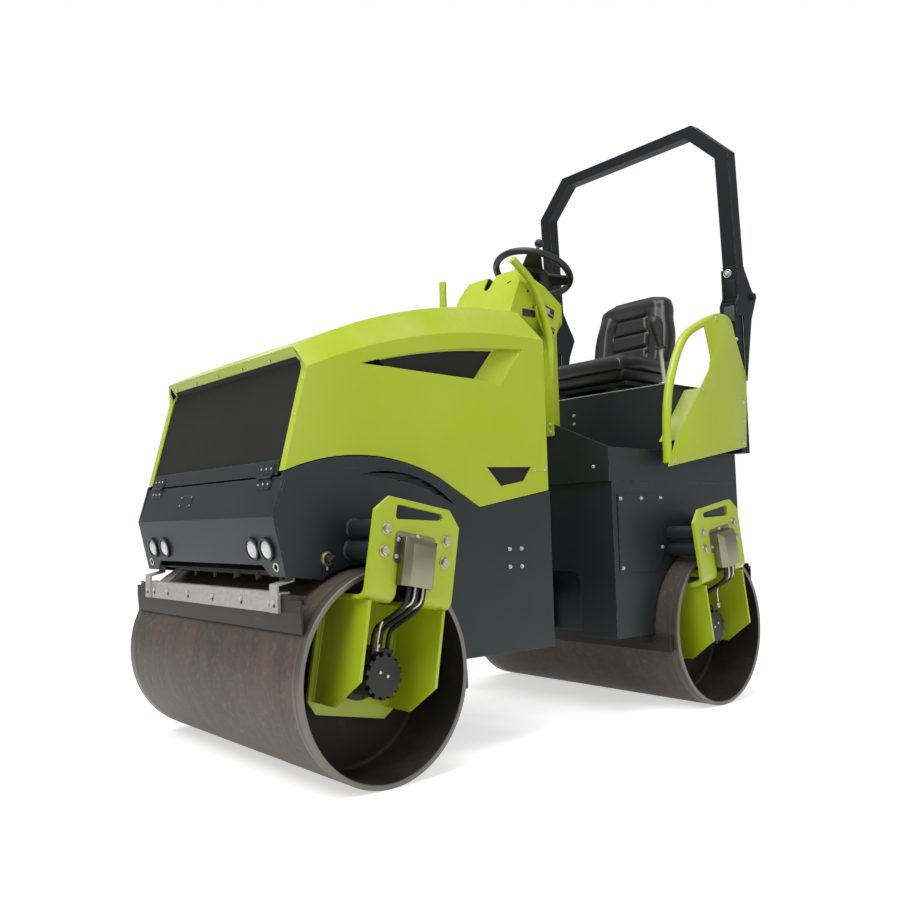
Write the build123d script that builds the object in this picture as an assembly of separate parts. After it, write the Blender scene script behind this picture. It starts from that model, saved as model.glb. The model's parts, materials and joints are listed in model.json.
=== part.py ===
from build123d import *
import math
import os

os.makedirs("parts", exist_ok=True)

# Articulated tandem road roller. Millimetres, +Z up, ground at Z = 0.
# The machine drives towards -Y; +X is its left side.
# The pieces are laid out from the steering pivot at X = Y = 0, and each one is moved at the end
# by ORIGIN_Y, so that the stored origin lies on the ground under the middle of the length.

# Driving dimensions
WHEELBASE = 1974
DRUM_DIA = 700
DRUM_WIDTH = 1250
DRUM_WALL = 18
DRUM_CLEARANCE = 14
BODY_HALF_WIDTH = 510
REAR_HALF_WIDTH = 520
FRAME_PLATE = 10
FRONT_END = -1351
REAR_END = 1490
SKIRT_REAR_Y = -36
REAR_WALL_Y = 358
REAR_BODY_END_Y = 1372
SKIRT_LOW_Z = 350
REAR_LOW_Z = 341
PLATFORM_Z = 1150
REAR_BODY_TOP_Z = 1015
DECK_Z = 1477
SHEET = 4
RUN_GAP = 4
SEAT_GAP = 0.3

# Places that follow from them
ORIGIN_Y = -(FRONT_END + REAR_END) / 2
DRUM_R = DRUM_DIA / 2
AXLE_Y = WHEELBASE / 2
ARCH_R = DRUM_R + DRUM_CLEARANCE


def save(shape, name):
    export_step(Pos(0, ORIGIN_Y, 0) * shape, f"parts/{name}.step")


# Straight prisms on an outline: (Y, Z) points run along X, (X, Z) along Y and (X, Y) along Z.
def outline(points, radius=0):
    if radius:
        return make_face(FilletPolyline(*points, radius=radius, close=True))
    return make_face(Polyline(*points, close=True))


def along_x(face, x0, x1):
    return extrude(Plane.YZ.offset(x0) * face, x1 - x0)


def along_y(face, y0, y1):
    return extrude(Plane.XZ.offset(-y1) * face, y1 - y0)


def along_z(face, z0, z1):
    return extrude(Plane.XY.offset(z0) * face, z1 - z0)


def block(x0, x1, y0, y1, z0, z1):
    return Pos((x0 + x1) / 2, (y0 + y1) / 2, (z0 + z1) / 2) * Box(x1 - x0, y1 - y0, z1 - z0)


def disc_x(radius, x0, x1, y=0, z=0):
    return Pos((x0 + x1) / 2, y, z) * Rot(0, 90, 0) * Cylinder(radius, x1 - x0)


def disc_y(radius, y0, y1, x=0, z=0):
    return Pos(x, (y0 + y1) / 2, z) * Rot(90, 0, 0) * Cylinder(radius, y1 - y0)


def disc_z(radius, z0, z1, x=0, y=0):
    return Pos(x, y, (z0 + z1) / 2) * Cylinder(radius, z1 - z0)


# Small round things that carry no fit are prisms of many sides, and the holes around them circumscribe
# a circle, so that a round pin still turns in them.
def peg_x(radius, x0, x1, y=0, z=0, sides=24):
    return along_x(Pos(y, z) * RegularPolygon(radius, sides), x0, x1)


def peg_y(radius, y0, y1, x=0, z=0, sides=24):
    return along_y(Pos(x, z) * RegularPolygon(radius, sides), y0, y1)


def peg_z(radius, z0, z1, x=0, y=0, sides=24):
    return along_z(Pos(x, y) * RegularPolygon(radius, sides), z0, z1)


def round_hole(radius, sides=24):
    """Radius of the prism that leaves a round pin of this radius free."""
    return radius / math.cos(math.pi / sides)


def both_sides(shape):
    return shape + mirror(shape, about=Plane.YZ)


def rounded(face, corners, radius):
    """Rounds the named corners of a flat face."""
    picked = [min(face.vertices(), key=lambda v: (v.X - x) ** 2 + (v.Y - y) ** 2) for x, y in corners]
    return fillet(picked, radius)


# A folded sheet: an open chain of points in the (Y, Z) plane given its thickness to the left.
def folded(points, thickness):
    left = []
    for i, (y, z) in enumerate(points):
        directions = []
        for a, b in ((i - 1, i), (i, i + 1)):
            if 0 <= a and b < len(points):
                dy, dz = points[b][0] - points[a][0], points[b][1] - points[a][1]
                length = math.hypot(dy, dz)
                directions.append((dy / length, dz / length))
        (ay, az), (by, bz) = directions[0], directions[-1]
        scale = thickness / (1 + ay * by + az * bz)
        left.append((y - (az + bz) * scale, z + (ay + by) * scale))
    return make_face(Polyline(*points, *reversed(left), close=True))


# Drums: a rolled shell and two deep end discs with a bearing hub each
DISC_X = 400
DISC_PLATE = 20
HUB_R = 90
HUB_LENGTH = 30
HUB_DEPTH = 80
STUB_R = 35
STUB_GAP = 0.3


def drum(axle_y):
    inner = DRUM_R - DRUM_WALL
    half = DRUM_WIDTH / 2
    shell = disc_x(DRUM_R, -half, half) - disc_x(inner, -half - 1, half + 1)
    side = disc_x(inner, DISC_X - DISC_PLATE, DISC_X) + peg_x(HUB_R, DISC_X - HUB_DEPTH, DISC_X + HUB_LENGTH)
    body = shell + both_sides(side)
    for end in (-1, 1):
        low, high = sorted((end * (DISC_X - HUB_DEPTH + 10), end * (DISC_X + HUB_LENGTH + 1)))
        body -= peg_x(round_hole(STUB_R + STUB_GAP), low, high)
    return Pos(0, axle_y, DRUM_R) * body


save(drum(-AXLE_Y), "front_drum")
save(drum(AXLE_Y), "rear_drum")

# Yokes: each drum end hangs on a bracket that is made in the drum's own frame, with U across and
# V up its leaning centre line, and then leant towards the steering pivot.
YOKE_TILT = 10.3
YOKE_HALF = 184
YOKE_PLATE = 14
HEAD_X = 666
HEAD_TOP_V = 568
HEAD_CHAMFER = 52
SHELF_V = 232
LEG_HALF = 62
NOTCH_TOP_V = 330
INNER_X = 450
INNER_LOW_V = -150
RIB_PLATE = 12
RIB_X = 676
BOLT_U = 130
BOLT_V = (391, 463)
TUBE_R = 32
HEAD_FACE_X = HEAD_X + YOKE_PLATE


def lean(shape):
    return Location((0, -AXLE_Y, DRUM_R), (-YOKE_TILT, 0, 0)) * shape


def yoke():
    top = HEAD_TOP_V - HEAD_CHAMFER
    head_low = SHELF_V + 60
    head = along_x(outline([
        (-YOKE_HALF, head_low), (-YOKE_HALF, top), (HEAD_CHAMFER - YOKE_HALF, HEAD_TOP_V),
        (YOKE_HALF - HEAD_CHAMFER, HEAD_TOP_V), (YOKE_HALF, top), (YOKE_HALF, head_low)]),
        HEAD_X, HEAD_FACE_X)
    corners = [(-98, 500), (-98, 548), (104, 526), (104, 500)]
    window = outline(corners)
    window = chamfer(window.vertices(), 7)
    notch = outline([(-LEG_HALF, head_low - 1), (-LEG_HALF, NOTCH_TOP_V), (LEG_HALF, NOTCH_TOP_V),
                     (LEG_HALF, head_low - 1)])
    notch = chamfer(notch.vertices().sort_by(Axis.Y)[-2:], 20)
    head -= along_x(window, HEAD_X - 1, HEAD_FACE_X + 1)
    head -= along_x(notch, HEAD_X - 1, HEAD_FACE_X + 1)
    # Each leg turns in over the drum's rim with a rounded bend.
    bend = outline([(HEAD_FACE_X, head_low), (HEAD_FACE_X, SHELF_V), (INNER_X, SHELF_V),
                    (INNER_X, SHELF_V + YOKE_PLATE), (HEAD_X, SHELF_V + YOKE_PLATE),
                    (HEAD_X, head_low)])
    bend = rounded(bend, [(HEAD_FACE_X, SHELF_V)], 40)
    bend = rounded(bend, [(HEAD_X, SHELF_V + YOKE_PLATE)], 40 - YOKE_PLATE)
    legs = along_y(bend, LEG_HALF, YOKE_HALF)
    legs += mirror(legs, about=Plane.XZ)
    inner = outline([(-YOKE_HALF, SHELF_V + YOKE_PLATE), (-YOKE_HALF, INNER_LOW_V),
                     (YOKE_HALF, INNER_LOW_V), (YOKE_HALF, SHELF_V + YOKE_PLATE)])
    inner = chamfer(inner.vertices().sort_by(Axis.Y)[:2], 38)
    plate = along_x(inner, INNER_X - YOKE_PLATE, INNER_X)
    plate -= peg_x(round_hole(STUB_R + STUB_GAP), INNER_X - YOKE_PLATE - 1, INNER_X + 1)
    rib = along_y(outline([(INNER_X, SHELF_V), (RIB_X, SHELF_V), (RIB_X, -16), (560, -110),
                           (INNER_X, -110)]), YOKE_HALF - 20 - RIB_PLATE, YOKE_HALF - 20)
    rib += mirror(rib, about=Plane.XZ)
    return head + legs + plate + rib


def cross_tubes(body_x):
    tubes = []
    for u in (-BOLT_U, BOLT_U):
        for v in BOLT_V:
            tubes.append(peg_x(TUBE_R, body_x, HEAD_X, u, v))
    return tubes


# Stainless cover over the pipe joints on each yoke head, bevelled along its top
COVER = dict(u0=-62, u1=56, v0=268, v1=424, depth=62, bevel=22, flange=22)


def cover_box():
    c = COVER
    base = HEAD_FACE_X
    face = base + c["depth"]
    section = [(base, c["v0"]), (face, c["v0"]), (face, c["v1"] - c["bevel"]),
               (face - c["bevel"], c["v1"]), (base, c["v1"])]
    box = along_y(outline(section), c["u0"], c["u1"])
    inner = [(base - 1, c["v0"] - 1), (face - 3, c["v0"] - 1), (face - 3, c["v1"] - c["bevel"] - 1),
             (face - c["bevel"] - 1, c["v1"] - 3), (base - 1, c["v1"] - 3)]
    box -= along_y(outline(inner), c["u0"] + 3, c["u1"] - 3)
    tabs = block(base, base + 3, c["u0"] - c["flange"], c["u1"] + c["flange"], c["v1"] - 90, c["v1"] - 60)
    return box + (tabs - block(base - 1, base + 4, c["u0"] + 1, c["u1"] - 1, c["v1"] - 91, c["v1"] - 59))


# Drum motors: a round gear case on the inner plate, its toothed end cap, a block for the hoses and
# the stub shaft that turns in the drum's hub
MOTOR_FLANGE_R = 95
MOTOR_R = 74
MOTOR_FACE_X = 598
CAP_DEPTH = 26
CAP_TEETH = 14
MANIFOLD_V = MOTOR_R + 14


def motor():
    case = peg_x(MOTOR_FLANGE_R, INNER_X, INNER_X + 18) + peg_x(MOTOR_R, INNER_X + 18, MOTOR_FACE_X - CAP_DEPTH)
    rim = []
    for tooth in range(CAP_TEETH):
        for step, radius in ((0, MOTOR_R - 8), (0.5, MOTOR_R - 8), (0.5, MOTOR_R + 2), (1, MOTOR_R + 2)):
            turn = math.radians((tooth + step) * 360 / CAP_TEETH)
            rim.append((radius * math.cos(turn), radius * math.sin(turn)))
    cap = along_x(outline(rim), MOTOR_FACE_X - CAP_DEPTH, MOTOR_FACE_X)
    stub = peg_x(STUB_R, DISC_X - 30, INNER_X + 1)
    manifold = block(534, MOTOR_FACE_X - CAP_DEPTH + 1, -44, 44, 40, MANIFOLD_V)
    return case + cap + stub + manifold


for end, turn in (("front", lambda s: s), ("rear", lambda s: mirror(s, about=Plane.XZ))):
    body_x = BODY_HALF_WIDTH if end == "front" else REAR_HALF_WIDTH
    left = turn(lean(yoke()))
    save(Compound([left, mirror(left, about=Plane.YZ)]), f"{end}_yokes")
    tubes = turn(lean(Compound(cross_tubes(body_x))))
    save(Compound([tubes, mirror(tubes, about=Plane.YZ)]), f"{end}_cross_tubes")
    cover = turn(lean(cover_box()))
    save(Compound([cover, mirror(cover, about=Plane.YZ)]), f"{end}_pipe_covers")
    drive = turn(lean(motor()))
    save(Compound([drive, mirror(drive, about=Plane.YZ)]), f"{end}_drum_motors")

# Front chassis: two side plates cut round the drum, a pan between them, the hitch bulkhead
# and the two lugs of the steering pivot
HOOD_EDGE_FRONT = (-1309, 1012)
HOOD_EDGE_CREST = (-979, 1074)
HOOD_EDGE_FALL = (-635, 1003)
HOOD_EDGE_CORNER = (-437, 898)
HOOD_EDGE_REAR = (SKIRT_REAR_Y, 967)
PAN_Z = 724
PAN_REAR_Y = -598
BULKHEAD_Y = -110
LUG_R = 60
LUG_PLATE = 30
LUG_GAP = 1
PIN_R = 30
LINK_LOW_Z = 431
LINK_HIGH_Z = 599
PIN_GAP = 0.05


def skirt_outline():
    front = FRONT_END + 42
    low_front = [(front + 5, 681), (-1166, DRUM_R + math.sqrt(ARCH_R ** 2 - (1166 - AXLE_Y) ** 2))]
    arch_rear = (-AXLE_Y + ARCH_R, DRUM_R)
    skirt = Polyline(arch_rear, (arch_rear[0], SKIRT_LOW_Z - 1), (SKIRT_REAR_Y, SKIRT_LOW_Z - 1),
                     HOOD_EDGE_REAR, HOOD_EDGE_CORNER, HOOD_EDGE_FALL)
    crest = ThreePointArc(HOOD_EDGE_FALL, HOOD_EDGE_CREST, HOOD_EDGE_FRONT)
    nose = Polyline(HOOD_EDGE_FRONT, (FRONT_END, 871), *low_front)
    mid = math.radians(60)
    arch = ThreePointArc(low_front[1], (-AXLE_Y + ARCH_R * math.cos(mid), DRUM_R + ARCH_R * math.sin(mid)),
                         arch_rear)
    return make_face([skirt, crest, nose, arch])


# The slatted air opening in each skirt, a crescent under the hood's edge
CRESCENT = [(-1007, 1009), (-790, 1018), (-565, 909), (-720, 968)]
crescent = make_face([
    ThreePointArc(CRESCENT[0], CRESCENT[1], CRESCENT[2]),
    ThreePointArc(CRESCENT[2], CRESCENT[3], CRESCENT[0])])
skirt = along_x(skirt_outline(), BODY_HALF_WIDTH - FRAME_PLATE, BODY_HALF_WIDTH)
skirt -= along_x(crescent, BODY_HALF_WIDTH - FRAME_PLATE - 1, BODY_HALF_WIDTH + 1)

inside = BODY_HALF_WIDTH - FRAME_PLATE
pan = along_x(folded([(-1275, 690), (-1235, PAN_Z), (-700, PAN_Z), (PAN_REAR_Y, 560),
                      (PAN_REAR_Y, SKIRT_LOW_Z), (BULKHEAD_Y, SKIRT_LOW_Z)], 8), -inside, inside)
bulkhead = block(-inside, inside, BULKHEAD_Y, BULKHEAD_Y + FRAME_PLATE, SKIRT_LOW_Z, 900)
lugs = None
for low, high in ((LINK_LOW_Z - LUG_GAP - LUG_PLATE, LINK_LOW_Z - LUG_GAP),
                  (LINK_HIGH_Z + LUG_GAP, LINK_HIGH_Z + LUG_GAP + LUG_PLATE)):
    lug = block(-LUG_R - 60, LUG_R + 60, BULKHEAD_Y + FRAME_PLATE, BULKHEAD_Y + FRAME_PLATE + 20, low, high)
    lug += block(-LUG_R, LUG_R, BULKHEAD_Y + FRAME_PLATE, 0, low, high) + disc_z(LUG_R, low, high)
    lug -= disc_z(PIN_R + PIN_GAP, low - 1, high + 1)
    lugs = lug if lugs is None else lugs + lug
CYLINDER_X = 220
CYLINDER_BASE_Y = -480
CYLINDER_Z = 515
BARREL_R = 34
bulkhead -= block(CYLINDER_X - 70, CYLINDER_X + 70, BULKHEAD_Y - 1, BULKHEAD_Y + FRAME_PLATE + 1,
                  CYLINDER_Z - 60, CYLINDER_Z + 60)
bulkhead += lugs
anchor = block(CYLINDER_X - 50, CYLINDER_X + 50, CYLINDER_BASE_Y - 25, CYLINDER_BASE_Y + 25,
               SKIRT_LOW_Z + 8, CYLINDER_Z - 26)
save(pan + bulkhead + anchor, "front_chassis")

# Bumper: one folded plate across the nose with its lower middle cut up between two eye tabs
BUMPER_TOP = (-1309, 999)
BUMPER_FOLD = (FRONT_END, 871)
BUMPER_LOW = (-1304, 681)
BUMPER_PLATE = 8
EYE_X = 465
EYE_Z = 712
EYE_R = 14
REAR_EYE_Z = 740
LAMP_X = (-412, -308, 350, 438)
LAMP_Z = 769
LAMP_R = 40


def bumper_slope_y(z):
    """Y of the lower bumper panel's outer face at height z."""
    share = (z - BUMPER_LOW[1]) / (BUMPER_FOLD[1] - BUMPER_LOW[1])
    return BUMPER_LOW[0] + share * (BUMPER_FOLD[0] - BUMPER_LOW[0])


bumper = along_x(folded([BUMPER_LOW, BUMPER_FOLD, BUMPER_TOP], -BUMPER_PLATE),
                 -BODY_HALF_WIDTH, BODY_HALF_WIDTH)
relief = outline([(-430, BUMPER_LOW[1] - 10), (-385, 717), (385, 717), (430, BUMPER_LOW[1] - 10)])
bumper -= along_y(rounded(relief, [(-385, 717), (385, 717)], 25), FRONT_END - 20, FRONT_END + 80)
BUMPER_LEAN = math.degrees(math.atan2(BUMPER_LOW[0] - BUMPER_FOLD[0], BUMPER_FOLD[1] - BUMPER_LOW[1]))


def on_bumper(shape, x, z):
    """Places a shape made about the Y axis, outwards -Y, on the lower bumper panel."""
    return Location((x, bumper_slope_y(z), z), (BUMPER_LEAN, 0, 0)) * shape


for x in (-EYE_X, EYE_X):
    bumper -= on_bumper(disc_y(EYE_R, -20, 20), x, EYE_Z)
lamps, lenses = [], []
for x in LAMP_X:
    bumper -= on_bumper(peg_y(LAMP_R - 3, -20, 40), x, LAMP_Z)
    bowl = peg_y(LAMP_R, -10, -SEAT_GAP) + peg_y(LAMP_R - 4, -SEAT_GAP - 1, 55)
    bowl -= peg_y(LAMP_R - 8, -11, 50)
    lamps.append(on_bumper(bowl, x, LAMP_Z))
    lenses.append(on_bumper(peg_y(LAMP_R - 8.6, -7, -1), x, LAMP_Z))
save(Compound(lamps), "headlamps")
save(Compound(lenses), "headlamp_lenses")

skirt -= along_x(folded([BUMPER_LOW, BUMPER_FOLD, BUMPER_TOP], -BUMPER_PLATE), 0, BODY_HALF_WIDTH + 1)
save(both_sides(skirt), "front_skirts")

# Battery isolator on the left skirt: a round plate with a turning knob
isolator = peg_x(24, BODY_HALF_WIDTH, BODY_HALF_WIDTH + 8, -1147, 733)
isolator += peg_x(15, BODY_HALF_WIDTH + 8, BODY_HALF_WIDTH + 22, -1147, 733, 16)
isolator += along_x(Pos(-1147, 733) * Rot(0, 0, 35) * Rectangle(34, 9), BODY_HALF_WIDTH + 22,
                    BODY_HALF_WIDTH + 34)
save(isolator, "isolator_switch")

# Engine as one plain mass on the pan
save(block(-270, 270, -1080, -330, PAN_Z + 8 + SEAT_GAP, 1330), "engine_block")

# Hood: a folded and welded cover with bevelled shoulders, hollow, hinged on the bumper's top edge.
# Its front leans back up to a brow, from which the roof's front edge comes forward again.
HOOD_T = 5
SHOULDER_X = 464
HOOD_FRONT_LOW = (-1309, 1003)
ROOF = [(-1237, 1431), (-740, 1616), (-142, 1691)]
SHOULDER = [(-1211, 1360), (-700, 1522), (-43, 1579)]
ROOF_BROW_Z = 1388
SHOULDER_BROW_Z = 1335
HOOD_REAR_Y = -43
FRONT_SLOPE = (SHOULDER[0][0] - HOOD_FRONT_LOW[0]) / (SHOULDER[0][1] - HOOD_FRONT_LOW[1])


def hood_profile(curve, brow_z, t, low_z):
    front, middle, rear = curve
    brow_y = HOOD_FRONT_LOW[0] + (brow_z - HOOD_FRONT_LOW[1]) * FRONT_SLOPE
    return make_face([
        ThreePointArc((front[0] + t, front[1] - t), (middle[0], middle[1] - t), (rear[0] - t, rear[1] - t)),
        Polyline((rear[0] - t, rear[1] - t), (HOOD_REAR_Y - t, 1500), (HOOD_REAR_Y - t, low_z),
                 (HOOD_FRONT_LOW[0] + t, low_z), (HOOD_FRONT_LOW[0] + t, HOOD_FRONT_LOW[1]),
                 (brow_y + t, brow_z), (front[0] + t, front[1] - t))])


def hood_solid(t, low_z):
    roof = hood_profile(ROOF, ROOF_BROW_Z, t, low_z)
    side = hood_profile(SHOULDER, SHOULDER_BROW_Z, t, low_z)
    half = extrude(Plane.YZ * roof, SHOULDER_X - t)
    half += loft([Plane.YZ.offset(SHOULDER_X - t) * roof, Plane.YZ.offset(BODY_HALF_WIDTH - t) * side],
                 ruled=True)
    return both_sides(half)


def hood_edge(gap):
    """Everything under the hood's lower edge, raised by gap."""
    def up(point):
        return (point[0], point[1] + gap)
    crest = ThreePointArc(up(HOOD_EDGE_FALL), up(HOOD_EDGE_CREST), up(HOOD_EDGE_FRONT))
    rest = Polyline(up(HOOD_EDGE_FRONT), (-1500, up(HOOD_EDGE_FRONT)[1]), (-1500, 600), (100, 600),
                    (100, up(HOOD_EDGE_REAR)[1]), up(HOOD_EDGE_REAR), up(HOOD_EDGE_CORNER),
                    up(HOOD_EDGE_FALL))
    return make_face([crest, rest])


WINDOW_HALF = 478
WINDOW_CORNER = [(474, 1361), (446, 1402)]
SLOT = [(-392, 1053), (-143, 1060), (-187, 1004), (-318, 982)]
SLOT_BACK = [(-410, 975), (-410, 1070), (-125, 1075), (-125, 985)]
hood = hood_solid(0, 850) - hood_solid(HOOD_T, 840)
hood -= along_x(hood_edge(RUN_GAP), -600, 600)
window_half = [(WINDOW_HALF, 990)] + WINDOW_CORNER
window = outline(window_half + [(-x, z) for x, z in reversed(window_half)])
hood -= along_y(window, -1330, -1130)

# Side intakes: each mesh lies in a pocket that deepens towards the rear, where a ramp leads back out
# to the skin. The pocket's bottom has two planes that meet in the ramp's foot line.
INTAKE_TIP, INTAKE_CREST = (-989, 1392), (-640, 1474)
INTAKE_TOP_REAR, INTAKE_LOW_REAR = (-178, 1526), (-306, 1370)
RAMP_FOOT = (-410, 1385)
RAMP_FOOT_TOP = (-300, 1513)
POCKET_DEPTH = 42
POCKET_T = 4
MESH_T = 3
foot_length = math.hypot(RAMP_FOOT_TOP[0] - RAMP_FOOT[0], RAMP_FOOT_TOP[1] - RAMP_FOOT[1])
foot_direction = (0, (RAMP_FOOT_TOP[0] - RAMP_FOOT[0]) / foot_length, (RAMP_FOOT_TOP[1] - RAMP_FOOT[1]) / foot_length)
foot_plane = Plane(origin=(0, *RAMP_FOOT), x_dir=(1, 0, 0), z_dir=foot_direction)
TIP_REACH, RAMP_REACH = 446, 88


def intake(grow):
    """The pocket's outline in the skin, with its edges moved outwards by grow."""
    tip = (INTAKE_TIP[0] - 6 * grow, INTAKE_TIP[1] - grow)
    rear = (INTAKE_TOP_REAR[0] + 2 * grow, INTAKE_TOP_REAR[1] + grow)
    return make_face([
        ThreePointArc(tip, (INTAKE_CREST[0], INTAKE_CREST[1] + grow), rear),
        Polyline(rear, (INTAKE_LOW_REAR[0] + grow, INTAKE_LOW_REAR[1] - grow),
                 (RAMP_FOOT[0], RAMP_FOOT[1] - grow), tip)])


def along_foot(points):
    """A long prism beside the ramp's foot line, on (X, distance behind that line) points."""
    return extrude(foot_plane * make_face(Polyline(*points, close=True)), 300, both=True)


def pocket_space(lift):
    """What lies outside the pocket's bottom, or that bottom moved inwards by lift."""
    skin = BODY_HALF_WIDTH - lift
    return along_foot([(600, -TIP_REACH), (skin, -TIP_REACH), (skin - POCKET_DEPTH, 0), (skin, RAMP_REACH),
                       (600, RAMP_REACH)])


pocket = along_x(intake(POCKET_T), 440, BODY_HALF_WIDTH - 1) & pocket_space(POCKET_T)
pocket -= along_x(intake(0), 430, 520) & pocket_space(0)
mesh_side = along_foot([(400, -TIP_REACH), (400, -4), (600, -4), (600, -TIP_REACH)])
pocket -= along_x(intake(-4), 430, 520) & mesh_side
side_mesh = along_x(intake(0), 430, 520) & mesh_side & pocket_space(POCKET_T + SEAT_GAP + MESH_T)
side_mesh -= pocket_space(POCKET_T + SEAT_GAP)
side_mesh = Compound([side_mesh, along_x(outline(SLOT_BACK), BODY_HALF_WIDTH - HOOD_T - SEAT_GAP - MESH_T,
                                         BODY_HALF_WIDTH - HOOD_T - SEAT_GAP)])
for side in (-1, 1):
    low, high = sorted((side * (BODY_HALF_WIDTH - HOOD_T - 1), side * (BODY_HALF_WIDTH + 1)))
    for hole in (intake(0), outline(SLOT)):
        hood -= along_x(hole, low, high)
hood += both_sides(pocket)

# Mesh panel behind the front window
grille = hood_solid(HOOD_T + SEAT_GAP, 900) - hood_solid(HOOD_T + SEAT_GAP + MESH_T, 890)
grille &= block(-WINDOW_HALF - 8, WINDOW_HALF + 8, -1330, -1190, 1012, 1415)
save(Compound([grille, side_mesh, mirror(side_mesh, about=Plane.YZ)]), "hood_meshes")

# Skirt slats behind the crescent openings
slats = None
for step in range(5):
    low_z = 888 + 27 * step
    slat = along_x(folded([(-1020, low_z), (-540, low_z)], 4), inside - 12, inside - SEAT_GAP)
    slats = slat if slats is None else slats + slat
backing = block(inside - 16, inside - 12, -1020, -540, 880, 1020)
slats = (slats + backing) & along_x(make_face([
    ThreePointArc((-1020, 1003), (-792, 1032), (-550, 902)),
    ThreePointArc((-550, 902), (-722, 950), (-1020, 1003))]), 0, inside)
save(both_sides(slats), "skirt_slats")

# Hinges of the hood: a leaf on each part and a knuckle on the axis at the bumper's top edge
HINGE_Y, HINGE_Z = -1317, 1001
HINGE_X = 405
LEAF_HALF = 42
STRIP_HALF, STRIP_HEIGHT = 470, 54
KNUCKLE_HALF = 14
KNUCKLE_R = 5
HINGE_PIN_R = 2.5
hood_leaves, bumper_leaves = [], []
FRONT_LEAN = math.degrees(math.atan(FRONT_SLOPE))
BUMPER_BACK = math.degrees(math.atan2(BUMPER_TOP[0] - BUMPER_FOLD[0], BUMPER_TOP[1] - BUMPER_FOLD[1]))
for side in (-1, 1):
    x = side * HINGE_X
    upper = block(-LEAF_HALF, LEAF_HALF, -4.3, -SEAT_GAP, 6, 40)
    for x0, x1 in ((-LEAF_HALF, -KNUCKLE_HALF - 1), (KNUCKLE_HALF + 1, LEAF_HALF)):
        upper += block(x0, x1, -4.3, -SEAT_GAP, -1, 7)
    upper = Location((x, HOOD_FRONT_LOW[0], HOOD_FRONT_LOW[1]), (-FRONT_LEAN, 0, 0)) * upper
    for x0, x1 in ((-LEAF_HALF, -KNUCKLE_HALF - 1), (KNUCKLE_HALF + 1, LEAF_HALF)):
        upper += peg_x(KNUCKLE_R, x + x0, x + x1, HINGE_Y, HINGE_Z, 8)
    upper -= peg_x(round_hole(HINGE_PIN_R + PIN_GAP, 8), x - LEAF_HALF - 1, x + LEAF_HALF + 1, HINGE_Y, HINGE_Z, 8)
    hood_leaves.append(upper)
    lower = block(-LEAF_HALF, LEAF_HALF, -4.3, -SEAT_GAP, -40, -6)
    lower += block(-KNUCKLE_HALF, KNUCKLE_HALF, -4.3, -SEAT_GAP, -7, 1)
    lower = Location((x, BUMPER_TOP[0], BUMPER_TOP[1]), (-BUMPER_BACK, 0, 0)) * lower
    lower += peg_x(KNUCKLE_R, x - KNUCKLE_HALF, x + KNUCKLE_HALF, HINGE_Y, HINGE_Z, 8)
    lower += peg_x(HINGE_PIN_R, x - LEAF_HALF - 2, x + LEAF_HALF + 2, HINGE_Y, HINGE_Z, 8)
    bumper_leaves.append(lower)
front_strip = Location((0, HOOD_FRONT_LOW[0], HOOD_FRONT_LOW[1]), (-FRONT_LEAN, 0, 0)) * block(
    -STRIP_HALF, STRIP_HALF, 0, HOOD_T, 3, STRIP_HEIGHT)
save(hood, "hood")
save(Compound([front_strip] + hood_leaves), "hood_trim")
save(Compound([bumper] + bumper_leaves), "bumper")

# Centre link: steering hub between the lugs, an arm for the cylinder and the roll trunnion
HUB_OUTER = 55
TRUNNION_R = 42
TRUNNION_FRONT = 110
TRUNNION_REAR = 575
LINK_Z = (LINK_LOW_Z + LINK_HIGH_Z) / 2
ARM = (170, 30)
link = disc_z(HUB_OUTER, LINK_LOW_Z, LINK_HIGH_Z)
link += block(-45, 45, 0, TRUNNION_FRONT, LINK_Z - 55, LINK_Z + 55)
link += peg_y(80, TRUNNION_FRONT - 20, TRUNNION_FRONT, 0, LINK_Z)
link += disc_y(TRUNNION_R, TRUNNION_FRONT, TRUNNION_REAR, 0, LINK_Z)
arm = along_z(outline([(0, 8), (0, 70), (60, 70), (ARM[0], ARM[1] + 32), (ARM[0], ARM[1] - 32)]),
              CYLINDER_Z + 16, CYLINDER_Z + 36)
arm += peg_z(32, CYLINDER_Z + 16, CYLINDER_Z + 36, *ARM, 16)
arm += peg_z(20, CYLINDER_Z + 36, CYLINDER_Z + 50, *ARM, 6)
link += arm
link -= disc_z(PIN_R + PIN_GAP, LINK_LOW_Z - 1, LINK_HIGH_Z + 1)
save(link, "centre_link")
pin = disc_z(PIN_R, LINK_LOW_Z - LUG_GAP - LUG_PLATE - 4, LINK_HIGH_Z + LUG_GAP + LUG_PLATE)
pin += disc_z(48, LINK_HIGH_Z + LUG_GAP + LUG_PLATE, LINK_HIGH_Z + LUG_GAP + LUG_PLATE + 12)
save(pin, "steering_pin")

# Steering cylinder: the barrel is pinned to the front chassis, the rod's eye lies under the arm
base = (CYLINDER_X, CYLINDER_BASE_Y)
reach = math.hypot(ARM[0] - base[0], ARM[1] - base[1])
toward = ((ARM[0] - base[0]) / reach, (ARM[1] - base[1]) / reach)
CYLINDER_TURN = math.degrees(math.atan2(-toward[0], toward[1]))
BARREL_LENGTH = 330
ROD_R = 16
ROD_GAP = 0.05


def cylinder_place(shape):
    return Location((base[0], base[1], CYLINDER_Z), (0, 0, CYLINDER_TURN)) * shape


barrel = peg_y(BARREL_R, 30, BARREL_LENGTH) + peg_z(28, -25.7, 25, sides=16) + block(-20, 20, 0, 40, -20, 20)
barrel += peg_y(BARREL_R + 5, BARREL_LENGTH - 25, BARREL_LENGTH)
barrel -= peg_y(round_hole(ROD_R + ROD_GAP), 50, BARREL_LENGTH + 1)
rod = peg_y(ROD_R, 150, reach - 20) + peg_z(26, -15, 15.7, 0, reach, 16)
save(cylinder_place(barrel), "steering_cylinder_barrel")
save(cylinder_place(rod), "steering_cylinder_rod")

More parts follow.
